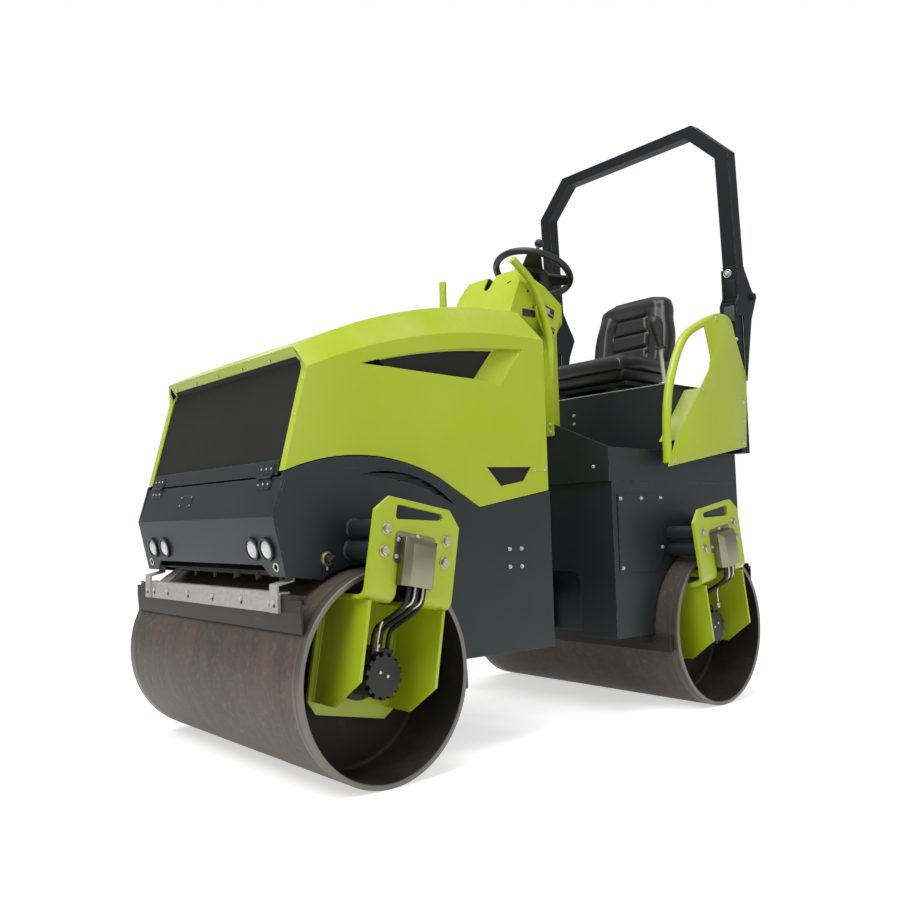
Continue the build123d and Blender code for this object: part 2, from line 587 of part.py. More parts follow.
# Rear chassis: side plates cut round the drum, front wall, roll bearing and drum pan
ARCH_FRONT_Y = AXLE_Y - ARCH_R


def rear_side_outline():
    mid = math.radians(120)
    low_rear = (REAR_BODY_END_Y, 665)
    arch_rear = (1166, DRUM_R + math.sqrt(ARCH_R ** 2 - (1166 - AXLE_Y) ** 2))
    body = Polyline((ARCH_FRONT_Y, DRUM_R), (ARCH_FRONT_Y, REAR_LOW_Z), (REAR_WALL_Y, REAR_LOW_Z),
                    (REAR_WALL_Y, REAR_BODY_TOP_Z), (REAR_BODY_END_Y, REAR_BODY_TOP_Z), low_rear, arch_rear)
    arch = ThreePointArc(arch_rear, (AXLE_Y + ARCH_R * math.cos(mid), DRUM_R + ARCH_R * math.sin(mid)),
                         (ARCH_FRONT_Y, DRUM_R))
    return make_face([body, arch])


rear_inside = REAR_HALF_WIDTH - FRAME_PLATE
rear_side = along_x(rear_side_outline(), rear_inside, REAR_HALF_WIDTH)
front_wall = block(-rear_inside, rear_inside, REAR_WALL_Y, REAR_WALL_Y + FRAME_PLATE, REAR_LOW_Z, REAR_BODY_TOP_Z)
doorway = outline([(-335, 340), (-335, 625), (335, 625), (335, 340)])
front_wall -= along_y(rounded(doorway, [(-335, 625), (335, 625)], 55), REAR_WALL_Y - 1,
                      REAR_WALL_Y + FRAME_PLATE + 1)
rear_pan = along_x(folded([(ARCH_FRONT_Y - 24, REAR_LOW_Z), (ARCH_FRONT_Y - 24, 560), (700, PAN_Z),
                           (1275, PAN_Z), (REAR_BODY_END_Y, 690)], 8), -rear_inside, rear_inside)
tail = block(-rear_inside, rear_inside, REAR_BODY_END_Y - 8, REAR_BODY_END_Y, 692, REAR_BODY_TOP_Z)
for x in (-EYE_X, EYE_X):
    tail -= disc_y(EYE_R, REAR_BODY_END_Y - 20, REAR_BODY_END_Y + 20, x, REAR_EYE_Z)
chassis = both_sides(rear_side) + front_wall + rear_pan + tail
bearing = peg_y(70, 440, ARCH_FRONT_Y - 24, 0, LINK_Z) + block(-60, 60, 460, ARCH_FRONT_Y - 24, REAR_LOW_Z, LINK_Z)
bearing += block(-rear_inside, rear_inside, 500, 512, REAR_LOW_Z, 625)
chassis += bearing
chassis -= disc_y(TRUNNION_R + PIN_GAP, 430, TRUNNION_REAR + 4, 0, LINK_Z)
save(chassis, "rear_chassis")

# Hatches bolted on both rear sides
hatch = along_x(rounded(outline([(392, 622), (392, 958), (728, 958), (728, 700), (650, 622)]),
                        [(392, 622), (392, 958), (728, 958)], 12),
                REAR_HALF_WIDTH + SEAT_GAP, REAR_HALF_WIDTH + SEAT_GAP + SHEET)
save(both_sides(hatch), "side_hatches")

# Platform: a shallow tub with raised sides, its front plate rising towards the steering console
RISER_TOP_Z = 1300
RISER_HALF = 205
platform_low_z = REAR_BODY_TOP_Z + SEAT_GAP
riser = outline([(-REAR_HALF_WIDTH, platform_low_z), (-REAR_HALF_WIDTH, PLATFORM_Z + 12), (-RISER_HALF, RISER_TOP_Z),
                 (RISER_HALF, RISER_TOP_Z), (REAR_HALF_WIDTH, PLATFORM_Z + 12), (REAR_HALF_WIDTH, platform_low_z)])
platform = along_y(riser, REAR_WALL_Y - 14, REAR_WALL_Y - 8)
platform += block(-REAR_HALF_WIDTH, REAR_HALF_WIDTH, REAR_WALL_Y - 8, REAR_BODY_END_Y, platform_low_z,
                  platform_low_z + 6)
for side in (-1, 1):
    low, high = sorted((side * (REAR_HALF_WIDTH - 6), side * REAR_HALF_WIDTH))
    platform += block(low, high, REAR_WALL_Y - 8, REAR_BODY_END_Y, platform_low_z + 6, PLATFORM_Z + 12)
platform += block(-REAR_HALF_WIDTH + 6, REAR_HALF_WIDTH - 6, REAR_WALL_Y - 8, 800, PLATFORM_Z - 6, PLATFORM_Z)
save(platform, "platform")

# Seat pedestal: a hollow folded box across the machine with a deck on top
PEDESTAL_Y = 800
pedestal = block(-REAR_HALF_WIDTH, REAR_HALF_WIDTH, PEDESTAL_Y, REAR_BODY_END_Y, PLATFORM_Z + 12.3, DECK_Z)
pedestal -= block(-REAR_HALF_WIDTH + SHEET, REAR_HALF_WIDTH - SHEET, PEDESTAL_Y + SHEET,
                  REAR_BODY_END_Y - SHEET, PLATFORM_Z, DECK_Z - SHEET)
save(pedestal, "seat_pedestal")

# Seat: slide rails, a pan-shaped cushion and a back
SEAT_FRONT_Y = 880
SEAT_Z = 1540
rails = None
for x in (-170, 170):
    rail = block(x - 20, x + 20, SEAT_FRONT_Y + 40, SEAT_FRONT_Y + 400, DECK_Z + SEAT_GAP, SEAT_Z - 20)
    rails = rail if rails is None else rails + rail
rails += block(-230, 230, SEAT_FRONT_Y + 30, SEAT_FRONT_Y + 430, SEAT_Z - 20, SEAT_Z - SEAT_GAP)
save(rails, "seat_frame")
cushion = along_x(outline([(SEAT_FRONT_Y, SEAT_Z), (SEAT_FRONT_Y - 10, 1660), (SEAT_FRONT_Y + 60, 1700),
                           (1270, 1670), (1300, SEAT_Z)], 18), -245, 245)
save(cushion, "seat_cushion")
back = outline([(-235, 1660), (-250, 1790), (-190, 2010), (-130, 2055), (130, 2055), (190, 2010),
                (250, 1790), (235, 1660)])
back = along_y(rounded(back, [(-190, 2010), (-130, 2055), (130, 2055), (190, 2010)], 30), 1225, 1420)
back &= along_x(outline([(1271, 1669), (1234, 1728), (1290, 2060), (1400, 2060), (1345, 1560),
                         (1296, 1560)]), -260, 260)
save(back, "seat_back")

# Travel lever on the deck's left
lever = Pos(500, 815, DECK_Z + 6) * Box(36, 28, 12)
for (y, z), (dy, dz), radius, sides in (((818, DECK_Z + 8), (-18, 165), 9, 8), ((801, 1642), (-3, 9), 26, 12),
                                        ((800, 1650), (-44, 145), 18, 12)):
    section = Plane(origin=(500, y, z), z_dir=(0, dy, dz)) * RegularPolygon(radius, sides)
    lever += extrude(section, math.hypot(dy, dz))
save(lever, "travel_lever")

# Console: a folded desk on the platform's raised front, open underneath for the pedals' linkage. Its
# head is wider than its foot and has bevelled upper corners; a flat gauge box hangs on its left side.
CONSOLE_T = 5
CONSOLE_REAR_Y = 476
HEAD_HALF = 195
FOOT_HALF = 160
NECK_Z = 1740


def console_side(t):
    low = PLATFORM_Z + SEAT_GAP
    shelf = RISER_TOP_Z + SEAT_GAP
    front = REAR_WALL_Y - 8 + SEAT_GAP
    return outline([(345 + t, shelf), (345 + t, 1560), (215 + t, 1690), (114 + t, 1789), (217 + t, 2012 - t),
                    (238, 2012 - t), (CONSOLE_REAR_Y - t, 1869 - t), (CONSOLE_REAR_Y - t, low - t),
                    (front + t, low - t), (front + t, shelf)])


def console_front(t):
    low = PLATFORM_Z - 10
    half = [(FOOT_HALF - t, low), (FOOT_HALF - t, NECK_Z), (HEAD_HALF - t, NECK_Z + 40), (HEAD_HALF - t, 1940),
            (146 - t, 2030 - t)]
    return outline(half + [(-x, z) for x, z in reversed(half)])


def console_body(t):
    return along_x(console_side(t), t - HEAD_HALF, HEAD_HALF - t) & along_y(console_front(t), 100, 500)


console = console_body(0) - console_body(CONSOLE_T)
notch = outline([(-26, 2020), (-34, 1958), (-24, 1944), (-4, 1944), (6, 1958), (36, 2020)])
console -= along_y(notch, 130, 300)
slot = outline([(118, 1951), (142, 1957), (142, 1951), (118, 1945)])
console -= along_y(slot, 130, 240)
gauges = along_x(outline([(300, 1886), (440, 1847), (452, 1836), (452, 1815), (418, 1716), (404, 1701),
                          (350, 1700), (285, 1790)]), HEAD_HALF + SEAT_GAP, 206)
save(Compound([console, gauges]), "console")

# Steering column, wheel with three spokes, and its spinner knob
WHEEL_Y, WHEEL_Z = 508, 2076
WHEEL_TILT = 24
RIM_R, RIM_TUBE = 184, 17
RIM_SIDES = 32
PAD_R = 74
SPOKE_HALF = 27
SPOKES = (-48, 38, 175)
KNOB_ANGLE = -45


def on_column(shape):
    return Location((0, WHEEL_Y, WHEEL_Z), (-WHEEL_TILT, 0, 0)) * shape


column = on_column(peg_z(22, -240, -62 - SEAT_GAP) + peg_z(34, -215, -90))
column -= along_x(console_side(-SEAT_GAP), -60, 60)
save(column, "steering_column")
wheel = peg_z(RIM_R + RIM_TUBE, -RIM_TUBE, RIM_TUBE, sides=RIM_SIDES)
wheel -= peg_z(RIM_R - RIM_TUBE, -RIM_TUBE - 1, RIM_TUBE + 1, sides=RIM_SIDES)
wheel = chamfer(wheel.edges().filter_by(Axis.Z, reverse=True), RIM_TUBE * 0.58)
wheel += peg_z(PAD_R, -62, -34, sides=18)
spoke = along_y(outline([(PAD_R - 20, -58), (PAD_R + 30, -54), (RIM_R - 6, -12), (RIM_R - 6, 4), (PAD_R + 34, -34),
                         (PAD_R - 20, -38)]), -SPOKE_HALF, SPOKE_HALF)
for angle in SPOKES:
    wheel += Rot(0, 0, angle) * spoke
knob = peg_z(8, 10, 40, sides=8) + chamfer(peg_z(22, 36, 66, sides=12).edges().filter_by(Axis.Z, reverse=True), 7)
wheel += Rot(0, 0, KNOB_ANGLE) * Pos(RIM_R, 0, 0) * knob
save(on_column(wheel), "steering_wheel")

# Grab rails beside the console: a bent tube whose flattened foot is welded to a flat strip, which is
# bolted to the riser plate, with a bracket to the console. The right one stands up straight.
RAIL_R = 17
STRIP = 6
STRIP_X = (196, 238)
riser_face = REAR_WALL_Y - 14 - SEAT_GAP
rail_foot = [(351, 1600), (338, 1500)]
RAILS = ((225, [(107, 2021), (187, 1974), (253, 1918), (290, 1850), (325, 1765), (350, 1680)]),
         (-225, [(107, 2021), (107, 1850), (150, 1790), (290, 1730), (345, 1670)]))


def tube(points, radius, sides=8):
    """A bent tube through the points, mitred where it bends."""
    path = Polyline(*points)
    section = Plane(origin=path @ 0, z_dir=path % 0) * RegularPolygon(radius, sides)
    return sweep(section, path=path, transition=Transition.RIGHT)


rails = []
for x, points in RAILS:
    rail = tube([(x, *point) for point in points + rail_foot], RAIL_R)
    side = 1 if x > 0 else -1
    low, high = sorted((side * STRIP_X[0], side * STRIP_X[1]))
    rail += along_x(folded([(344, 1600), (riser_face, 1300), (riser_face, 1235)], -STRIP), low, high)
    low, high = sorted((side * (FOOT_HALF + SEAT_GAP), side * 225))
    rail += block(low, high, 345, 351, 1600, 1640)
    rails.append(rail)
save(Compound(rails), "grab_rails")

# Side guards: a flat plate bolted to the roll bar's posts, with a flange folded in along its slanted
# edge and a bent tube that closes the hand loop
GUARD_X = 600 + SEAT_GAP
GUARD_T = 5
GUARD_TUBE_R = 19
GUARD_EDGE = [(723, 1200), (946, 1455)]
guard_plate = outline([(657, 1078), GUARD_EDGE[0], GUARD_EDGE[1], (1027, 1548), (1048, 1608), (1003, 1765),
                       (1099, 1826), (1187, 1839), (1251, 1816), (1277, 1735), (1366, 1544), (1331, 1193)])
guard_plate = rounded(guard_plate, [(1187, 1839), (1251, 1816), (1099, 1826)], 28)
guard = along_x(guard_plate, GUARD_X, GUARD_X + GUARD_T)
guard += along_x(folded(GUARD_EDGE, -GUARD_T), REAR_HALF_WIDTH + SEAT_GAP, GUARD_X)
guard_tube_x = GUARD_X + GUARD_T - GUARD_TUBE_R
GUARD_LOOP = [(1080, 1800), (980, 1757), (905, 1722), (855, 1685), (815, 1640), (775, 1575), (725, 1470),
              (705, 1400), (690, 1320), (680, 1096)]
guard += tube([(guard_tube_x, *point) for point in GUARD_LOOP], GUARD_TUBE_R)
save(both_sides(guard), "side_guards")

# Roll bar: two box posts, cheek plates that carry the fold pins, and the folding arch
POST_OUT, POST_IN = 600, 530
POST_FRONT_Y, POST_DEPTH = 1297, 70
POST_FOOT_Z, POST_TOP_Z = PLATFORM_Z + 14, 1918
CHEEK = 8
CHEEK_GAP = 0.5
FOLD_Y, FOLD_Z = 1452, 1958
FOLD_PIN_R = 12
ARCH_LEAN = 2.6
ARCH_BASE_Y, ARCH_BASE_Z = 1330, 2100
ARCH_OUTER = [(600, 2690), (417, 2888)]
ARCH_INNER = [(530, 2671), (377, 2833)]

post = block(POST_IN, POST_OUT, POST_FRONT_Y, POST_FRONT_Y + POST_DEPTH, POST_FOOT_Z, POST_TOP_Z)
post_rear_y = POST_FRONT_Y + POST_DEPTH
cheek = outline([(POST_FRONT_Y, 1850), (POST_FRONT_Y, 1905), (ARCH_BASE_Y - 4, 1950), (ARCH_BASE_Y - 4, 2092),
                 (ARCH_BASE_Y + 30, 2092), (ARCH_BASE_Y + 60, 1990), (FOLD_Y + 18, 1984), (FOLD_Y + 34, 1945),
                 (FOLD_Y - 15, 1841), (post_rear_y, 1524), (post_rear_y, 1850)])
for x in (POST_IN - CHEEK_GAP - CHEEK, POST_OUT + CHEEK_GAP):
    post += along_x(cheek, x, x + CHEEK)
post += block(POST_IN - CHEEK_GAP - 1, POST_OUT + CHEEK_GAP + 1, POST_FRONT_Y + 5, POST_FRONT_Y + POST_DEPTH - 5,
              1852, 1900)
post -= peg_x(round_hole(FOLD_PIN_R + PIN_GAP), 500, 640, FOLD_Y, FOLD_Z)
post += block(REAR_HALF_WIDTH + SEAT_GAP, POST_IN + 1, POST_FRONT_Y, POST_FRONT_Y + POST_DEPTH, POST_FOOT_Z + 40,
              POST_FOOT_Z + 160)
fold_pin = peg_x(FOLD_PIN_R, POST_IN - 14, POST_OUT + 14, FOLD_Y, FOLD_Z)
fold_pin += peg_x(19, POST_OUT + CHEEK_GAP + CHEEK + SEAT_GAP, POST_OUT + 22, FOLD_Y, FOLD_Z, 6)
side_parts = [post, fold_pin]
save(Compound(side_parts + [mirror(part, about=Plane.YZ) for part in side_parts]), "roll_bar_posts")

arch_face = make_face(Polyline(
    (POST_OUT, ARCH_BASE_Z), *ARCH_OUTER, *[(-x, z) for x, z in reversed(ARCH_OUTER)], (-POST_OUT, ARCH_BASE_Z),
    (-POST_IN, ARCH_BASE_Z), *[(-x, z) for x, z in ARCH_INNER], *reversed(ARCH_INNER), (POST_IN, ARCH_BASE_Z),
    close=True))
arch = along_y(arch_face, 0, POST_DEPTH)
arch = Pos(0, ARCH_BASE_Y, ARCH_BASE_Z) * Rot(ARCH_LEAN, 0, 0) * Pos(0, 0, -ARCH_BASE_Z) * arch
foot = along_x(outline([(ARCH_BASE_Y, 1930), (ARCH_BASE_Y, ARCH_BASE_Z + 10), (ARCH_BASE_Y + POST_DEPTH, 2108),
                        (1486, 1972), (1480, 1932), (1452, 1926)]), POST_IN, POST_OUT)
foot -= peg_x(round_hole(FOLD_PIN_R + PIN_GAP), 500, 640, FOLD_Y, FOLD_Z)
arch += both_sides(foot)
save(arch, "roll_bar_arch")

# Scrapers: a galvanized beam with end arms under each outer end of the machine, a blade below it,
# and a second blade on the side of each drum that faces the steering pivot
BEAM_HALF = 495
BEAM_Y, BEAM_Z = 1315, 628
BEAM_PLATE = 6
STRAP_TOP_Z = 654
BLADE_HALF = 602
EAR_FOLD_X = 540
EAR_TOP_Z = 628
BLADE_GAP = 3
BLADE_T = 8


def drum_front(z):
    """How far the drum's surface reaches from the pivot at height z."""
    return AXLE_Y + math.sqrt(DRUM_R ** 2 - (z - DRUM_R) ** 2)


def scraper_beam(pan_z):
    """The beam and its three straps, which are bent back over it and up to the pan."""
    beam = along_x(folded([(-BEAM_Y, BEAM_Z - 58), (-BEAM_Y, BEAM_Z), (-BEAM_Y + 34, BEAM_Z)], BEAM_PLATE),
                   -BEAM_HALF, BEAM_HALF)
    strap = folded([(-BEAM_Y - BEAM_PLATE, BEAM_Z - 58), (-BEAM_Y - BEAM_PLATE, STRAP_TOP_Z), (-1262, STRAP_TOP_Z + 12),
                    (-1262, pan_z - SEAT_GAP)], BEAM_PLATE)
    beam += both_sides(along_x(strap, BEAM_HALF - 48, BEAM_HALF))
    brace = folded([(-BEAM_Y + 24, BEAM_Z - 2), (-1200, 694), (-1200, PAN_Z - SEAT_GAP)], BEAM_PLATE)
    return beam + along_x(brace, -430, -360)


blade_y = -BEAM_Y + SEAT_GAP + BLADE_T
blade = along_x(folded([(-drum_front(512) - BLADE_GAP, 512), (blade_y, 575), (blade_y, 614)], BLADE_T),
                -BLADE_HALF, BLADE_HALF)
# Each end of the blade is an ear, folded a little inwards beside the beam's end
ear = along_z(outline([(EAR_FOLD_X - 38, blade_y), (EAR_FOLD_X, blade_y), (BLADE_HALF, blade_y + 16),
                       (BLADE_HALF, blade_y + 16 - BLADE_T), (EAR_FOLD_X, blade_y - BLADE_T),
                       (EAR_FOLD_X - 38, blade_y - BLADE_T)]), 600, EAR_TOP_Z)
blade += both_sides(ear)


def inner_scraper(frame_low_z):
    """Blade on the drum's side towards the pivot, held under the frame's lowest plate."""
    hold_y = -AXLE_Y + ARCH_R + 8
    part = block(-BLADE_HALF, BLADE_HALF, -AXLE_Y + DRUM_R + BLADE_GAP, hold_y, 268, 335)
    return part + both_sides(block(inside - 40, inside, hold_y, hold_y + 60, 300, frame_low_z - SEAT_GAP))


# Spray bars with five nozzles, hung under the pans at both ends
def spray_bar(hanger_top_z):
    bar = peg_x(11, -335, 440, -1248, 688, 8)
    for x in (-200, -50, 100, 250, 400):
        bar += peg_z(9, 662, 682, x, -1248, 8)
    for x in (-300, 300):
        bar += block(x - 12, x + 12, -1252, -1244, 695, hanger_top_z)
    return bar


for end, low_z, pan_z, hanger_z, turn in (("front", SKIRT_LOW_Z, 696, 709, lambda s: s),
                                          ("rear", REAR_LOW_Z, PAN_Z, PAN_Z - SEAT_GAP,
                                           lambda s: mirror(s, about=Plane.XZ))):
    save(turn(scraper_beam(pan_z)), f"{end}_scraper_beam")
    save(turn(Compound([blade, inner_scraper(low_z)])), f"{end}_scrapers")
    save(turn(spray_bar(hanger_z)), f"{end}_spray_bar")

# Hoses from each pipe cover down to the manifold block on the motor
HOSE_R = 8


def hoses():
    routes = []
    for u in (-32, 0, 32):
        routes.append(tube([(712, u, 290), (712, u, 250), (700, u, 222), (672, u, 196), (632, u, 180), (590, u, 168),
                            (564, u, 150), (556, u, 122), (556, u, MANIFOLD_V + SEAT_GAP)], HOSE_R, 6))
    return Compound(routes)


for end, turn in (("front", lambda s: s), ("rear", lambda s: mirror(s, about=Plane.XZ))):
    left = turn(lean(hoses()))
    save(Compound([left, mirror(left, about=Plane.YZ)]), f"{end}_hoses")
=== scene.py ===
import json
import math

import bmesh
import bpy
from mathutils import Matrix, Vector


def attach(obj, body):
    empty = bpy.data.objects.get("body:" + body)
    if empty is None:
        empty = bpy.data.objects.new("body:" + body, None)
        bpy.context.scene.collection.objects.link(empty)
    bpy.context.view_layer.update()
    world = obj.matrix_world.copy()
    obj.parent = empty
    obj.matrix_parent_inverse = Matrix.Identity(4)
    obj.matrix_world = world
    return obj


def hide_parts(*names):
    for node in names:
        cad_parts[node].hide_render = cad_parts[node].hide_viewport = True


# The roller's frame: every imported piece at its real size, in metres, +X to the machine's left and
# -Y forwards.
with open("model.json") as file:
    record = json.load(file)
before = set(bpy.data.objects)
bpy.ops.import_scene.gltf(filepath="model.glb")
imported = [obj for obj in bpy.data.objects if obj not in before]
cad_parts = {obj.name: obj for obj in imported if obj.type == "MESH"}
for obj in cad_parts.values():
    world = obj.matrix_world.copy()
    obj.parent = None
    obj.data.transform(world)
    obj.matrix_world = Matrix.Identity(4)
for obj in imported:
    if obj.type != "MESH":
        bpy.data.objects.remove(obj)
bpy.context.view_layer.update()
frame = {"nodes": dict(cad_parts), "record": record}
nodes = frame["nodes"]
behaviour = frame["record"]["behaviour"]
body_of = {node: body for body, members in behaviour["bodies"].items() for node in members}
steer = next(joint for joint in behaviour["joints"] if joint["name"] == "steer")


# Camera: the photographer stood off the machine's front left corner, with the lens a little under
# a metre up, looking slightly upwards. The picture is an off-centre part of a wider frame.
CAMERA_PLACE = (2.8027, -2.8607, 0.8319)
CAMERA_TURN, CAMERA_RISE, CAMERA_ROLL = 53.194, 4.256, -1.03
PICTURE_WIDTH = 899
FOCAL_PIXELS = 865.46
LENS_AXIS = (342.44, 463.76)

camera_data = bpy.data.cameras.new("camera")
camera_data.sensor_width = 36
camera_data.lens = 36 * FOCAL_PIXELS / PICTURE_WIDTH
camera_data.shift_x = (PICTURE_WIDTH / 2 - LENS_AXIS[0]) / PICTURE_WIDTH
camera_data.shift_y = (LENS_AXIS[1] - PICTURE_WIDTH / 2) / PICTURE_WIDTH
camera = bpy.data.objects.new("camera", camera_data)
camera.matrix_world = (Matrix.Translation(CAMERA_PLACE)
                       @ Matrix.Rotation(math.radians(CAMERA_TURN), 4, "Z")
                       @ Matrix.Rotation(math.radians(90 + CAMERA_RISE), 4, "X")
                       @ Matrix.Rotation(math.radians(CAMERA_ROLL), 4, "Z"))
bpy.context.scene.collection.objects.link(camera)
bpy.context.scene.camera = camera


# Green and dark enamel: sprayed over sheet and plate, with faint orange peel, a mottled film on
# upward faces, thin scuffs, and paint worn off sharp edges. The upward film is dust on most finishes;
# on the green enamel it is pale painted top light, its upper faces drawn lighter. All finishes share this
# wear.
def group_with(name, inputs, outputs):
    """A new shader node group with its sockets; returns the group and its two end nodes."""
    group = bpy.data.node_groups.new(name, "ShaderNodeTree")
    for label, kind, value in inputs:
        socket = group.interface.new_socket(label, in_out="INPUT", socket_type=kind)
        socket.default_value = value
    for label, kind in outputs:
        group.interface.new_socket(label, in_out="OUTPUT", socket_type=kind)
    return group, group.nodes.new("NodeGroupInput"), group.nodes.new("NodeGroupOutput")


def math_node(tree, operation, first, second=None, clamp=False):
    node = tree.nodes.new("ShaderNodeMath")
    node.operation = operation
    node.use_clamp = clamp
    for slot, value in zip(node.inputs, (first, second)):
        if isinstance(value, (int, float)):
            slot.default_value = value
        elif value is not None:
            tree.links.new(value, slot)
    return node.outputs[0]


def mix_colour(tree, factor, below, above, blend="MIX"):
    node = tree.nodes.new("ShaderNodeMix")
    node.data_type = "RGBA"
    node.blend_type = blend
    for slot, value in zip((node.inputs[0], node.inputs[6], node.inputs[7]), (factor, below, above)):
        if isinstance(value, (int, float)):
            slot.default_value = value
        elif isinstance(value, tuple):
            slot.default_value = (*value[:3], 1)
        else:
            tree.links.new(value, slot)
    return node.outputs[2]


def noise(tree, coordinates, scale, detail=4, roughness=0.55, stretch=None):
    """Noise on the given coordinates; stretch scales them along X, Y and Z first."""
    if stretch:
        mapping = tree.nodes.new("ShaderNodeMapping")
        mapping.inputs["Scale"].default_value = stretch
        tree.links.new(coordinates, mapping.inputs["Vector"])
        coordinates = mapping.outputs[0]
    node = tree.nodes.new("ShaderNodeTexNoise")
    node.inputs["Scale"].default_value = scale
    node.inputs["Detail"].default_value = detail
    node.inputs["Roughness"].default_value = roughness
    tree.links.new(coordinates, node.inputs["Vector"])
    return node.outputs["Fac"]


def ramp(tree, value, low, high):
    """0 below low and 1 above high, smooth between."""
    node = tree.nodes.new("ShaderNodeMapRange")
    node.interpolation_type = "SMOOTHSTEP"
    node.inputs["From Min"].default_value = low
    node.inputs["From Max"].default_value = high
    tree.links.new(value, node.inputs["Value"])
    return node.outputs[0]


def object_place(tree):
    return tree.nodes.new("ShaderNodeTexCoord").outputs["Object"]


def build_wear_group():
    group, start, end = group_with(
        "wear",
        [("Colour", "NodeSocketColor", (0.5, 0.5, 0.5, 1)),
         ("Dust And Top Light Colour", "NodeSocketColor", (0.5, 0.45, 0.38, 1)),
         ("Dust And Top Light", "NodeSocketFloat", 0.2), ("Scuffs", "NodeSocketFloat", 0.2),
         ("Edge Wear", "NodeSocketFloat", 0.3), ("Roughness", "NodeSocketFloat", 0.35)],
        [("Colour", "NodeSocketColor"), ("Roughness", "NodeSocketFloat"), ("Height", "NodeSocketFloat")])
    place = object_place(group)
    geometry = group.nodes.new("ShaderNodeNewGeometry")
    split = group.nodes.new("ShaderNodeSeparateXYZ")
    group.links.new(geometry.outputs["Normal"], split.inputs[0])
    # Upward faces take a mottled film: dust on most finishes, and pale painted top light on the green
    # enamel.
    upward = ramp(group, split.outputs["Z"], 0.15, 0.95)
    cloud = ramp(group, noise(group, place, 3.2, 6), 0.35, 0.75)
    speck = ramp(group, noise(group, place, 55, 3), 0.45, 0.75)
    upward_share = math_node(group, "ADD", math_node(group, "MULTIPLY", upward, 0.9), 0.1)
    film = math_node(group, "MULTIPLY", math_node(group, "MULTIPLY", upward_share, cloud), start.outputs["Dust And Top Light"])
    specks = math_node(group, "MULTIPLY", math_node(group, "MULTIPLY", speck, film), 0.5)
    film = math_node(group, "ADD", film, specks, clamp=True)
    scratch = ramp(group, noise(group, place, 24, 5, 0.7, (0.25, 0.25, 3.5)), 0.63, 0.72)
    scratch = math_node(group, "MULTIPLY", scratch, ramp(group, noise(group, place, 2.1, 2), 0.5, 0.7))
    scratch = math_node(group, "MULTIPLY", scratch, start.outputs["Scuffs"], clamp=True)
    bevel = group.nodes.new("ShaderNodeBevel")
    bevel.samples = 4
    bevel.inputs["Radius"].default_value = 0.004
    bend = group.nodes.new("ShaderNodeVectorMath")
    bend.operation = "DOT_PRODUCT"
    group.links.new(bevel.outputs[0], bend.inputs[0])
    group.links.new(geometry.outputs["Normal"], bend.inputs[1])
    sharp = math_node(group, "SUBTRACT", 1.0, bend.outputs["Value"])
    worn = math_node(group, "MULTIPLY", ramp(group, sharp, 0.03, 0.2),
                     ramp(group, noise(group, place, 38, 4), 0.42, 0.6))
    worn = math_node(group, "MULTIPLY", worn, start.outputs["Edge Wear"], clamp=True)
    shade = mix_colour(group, noise(group, place, 1.7, 3), (0.93, 0.93, 0.93), (1.05, 1.05, 1.05))
    colour = mix_colour(group, 1.0, start.outputs["Colour"], shade, "MULTIPLY")
    scratched = mix_colour(group, 0.35, start.outputs["Colour"], (0.75, 0.75, 0.72))
    rubbed = mix_colour(group, 0.45, start.outputs["Colour"], (0.9, 0.9, 0.85))
    colour = mix_colour(group, scratch, colour, scratched)
    colour = mix_colour(group, worn, colour, rubbed)
    colour = mix_colour(group, film, colour, start.outputs["Dust And Top Light Colour"])
    group.links.new(colour, end.inputs["Colour"])
    rough = math_node(group, "ADD", start.outputs["Roughness"], math_node(group, "MULTIPLY", film, 0.45))
    rough = math_node(group, "ADD", rough, math_node(group, "MULTIPLY", scratch, 0.25), clamp=True)
    group.links.new(rough, end.inputs["Roughness"])
    peel = math_node(group, "MULTIPLY", noise(group, place, 260, 2), 0.35)
    group.links.new(math_node(group, "SUBTRACT", peel, worn), end.inputs["Height"])
    return group


wear = build_wear_group()


def bump(tree, height, strength, distance, rounding=None):
    """A bump node on a height; rounding adds the soft look of a rounded edge, in metres."""
    node = tree.nodes.new("ShaderNodeBump")
    node.inputs["Strength"].default_value = strength
    node.inputs["Distance"].default_value = distance
    tree.links.new(height, node.inputs["Height"])
    if rounding:
        bevel = tree.nodes.new("ShaderNodeBevel")
        bevel.samples = 4
        bevel.inputs["Radius"].default_value = rounding
        tree.links.new(bevel.outputs[0], node.inputs["Normal"])
    return node.outputs[0]


def finish(name, colour, roughness, dust_and_top_light=0.15, scuffs=0.15, edges=0.25, metallic=0.0, coat=0.0, specular=0.4,
           dust_and_top_light_colour=(0.40, 0.36, 0.30), rounding=0.003, bump_depth=0.0006, recolour=None):
    """A painted, plastic or bare metal finish with the shared wear; recolour may change its colour first."""
    material = bpy.data.materials.new(name)
    material.use_nodes = True
    tree = material.node_tree
    shader = tree.nodes["Principled BSDF"]
    group = tree.nodes.new("ShaderNodeGroup")
    group.node_tree = wear
    group.inputs["Colour"].default_value = (*colour, 1)
    if recolour:
        tree.links.new(recolour(tree), group.inputs["Colour"])
    group.inputs["Dust And Top Light Colour"].default_value = (*dust_and_top_light_colour, 1)
    group.inputs["Dust And Top Light"].default_value = dust_and_top_light
    group.inputs["Scuffs"].default_value = scuffs
    group.inputs["Edge Wear"].default_value = edges
    group.inputs["Roughness"].default_value = roughness
    tree.links.new(group.outputs["Colour"], shader.inputs["Base Color"])
    tree.links.new(group.outputs["Roughness"], shader.inputs["Roughness"])
    tree.links.new(bump(tree, group.outputs["Height"], 0.35, bump_depth, rounding), shader.inputs["Normal"])
    shader.inputs["Metallic"].default_value = metallic
    shader.inputs["Specular IOR Level"].default_value = specular
    shader.inputs["Coat Weight"].default_value = coat
    shader.inputs["Coat Roughness"].default_value = 0.12
    return material


def paint(material, *names):
    for name in names:
        mesh = nodes[name].data
        mesh.materials.clear()
        mesh.materials.append(material)
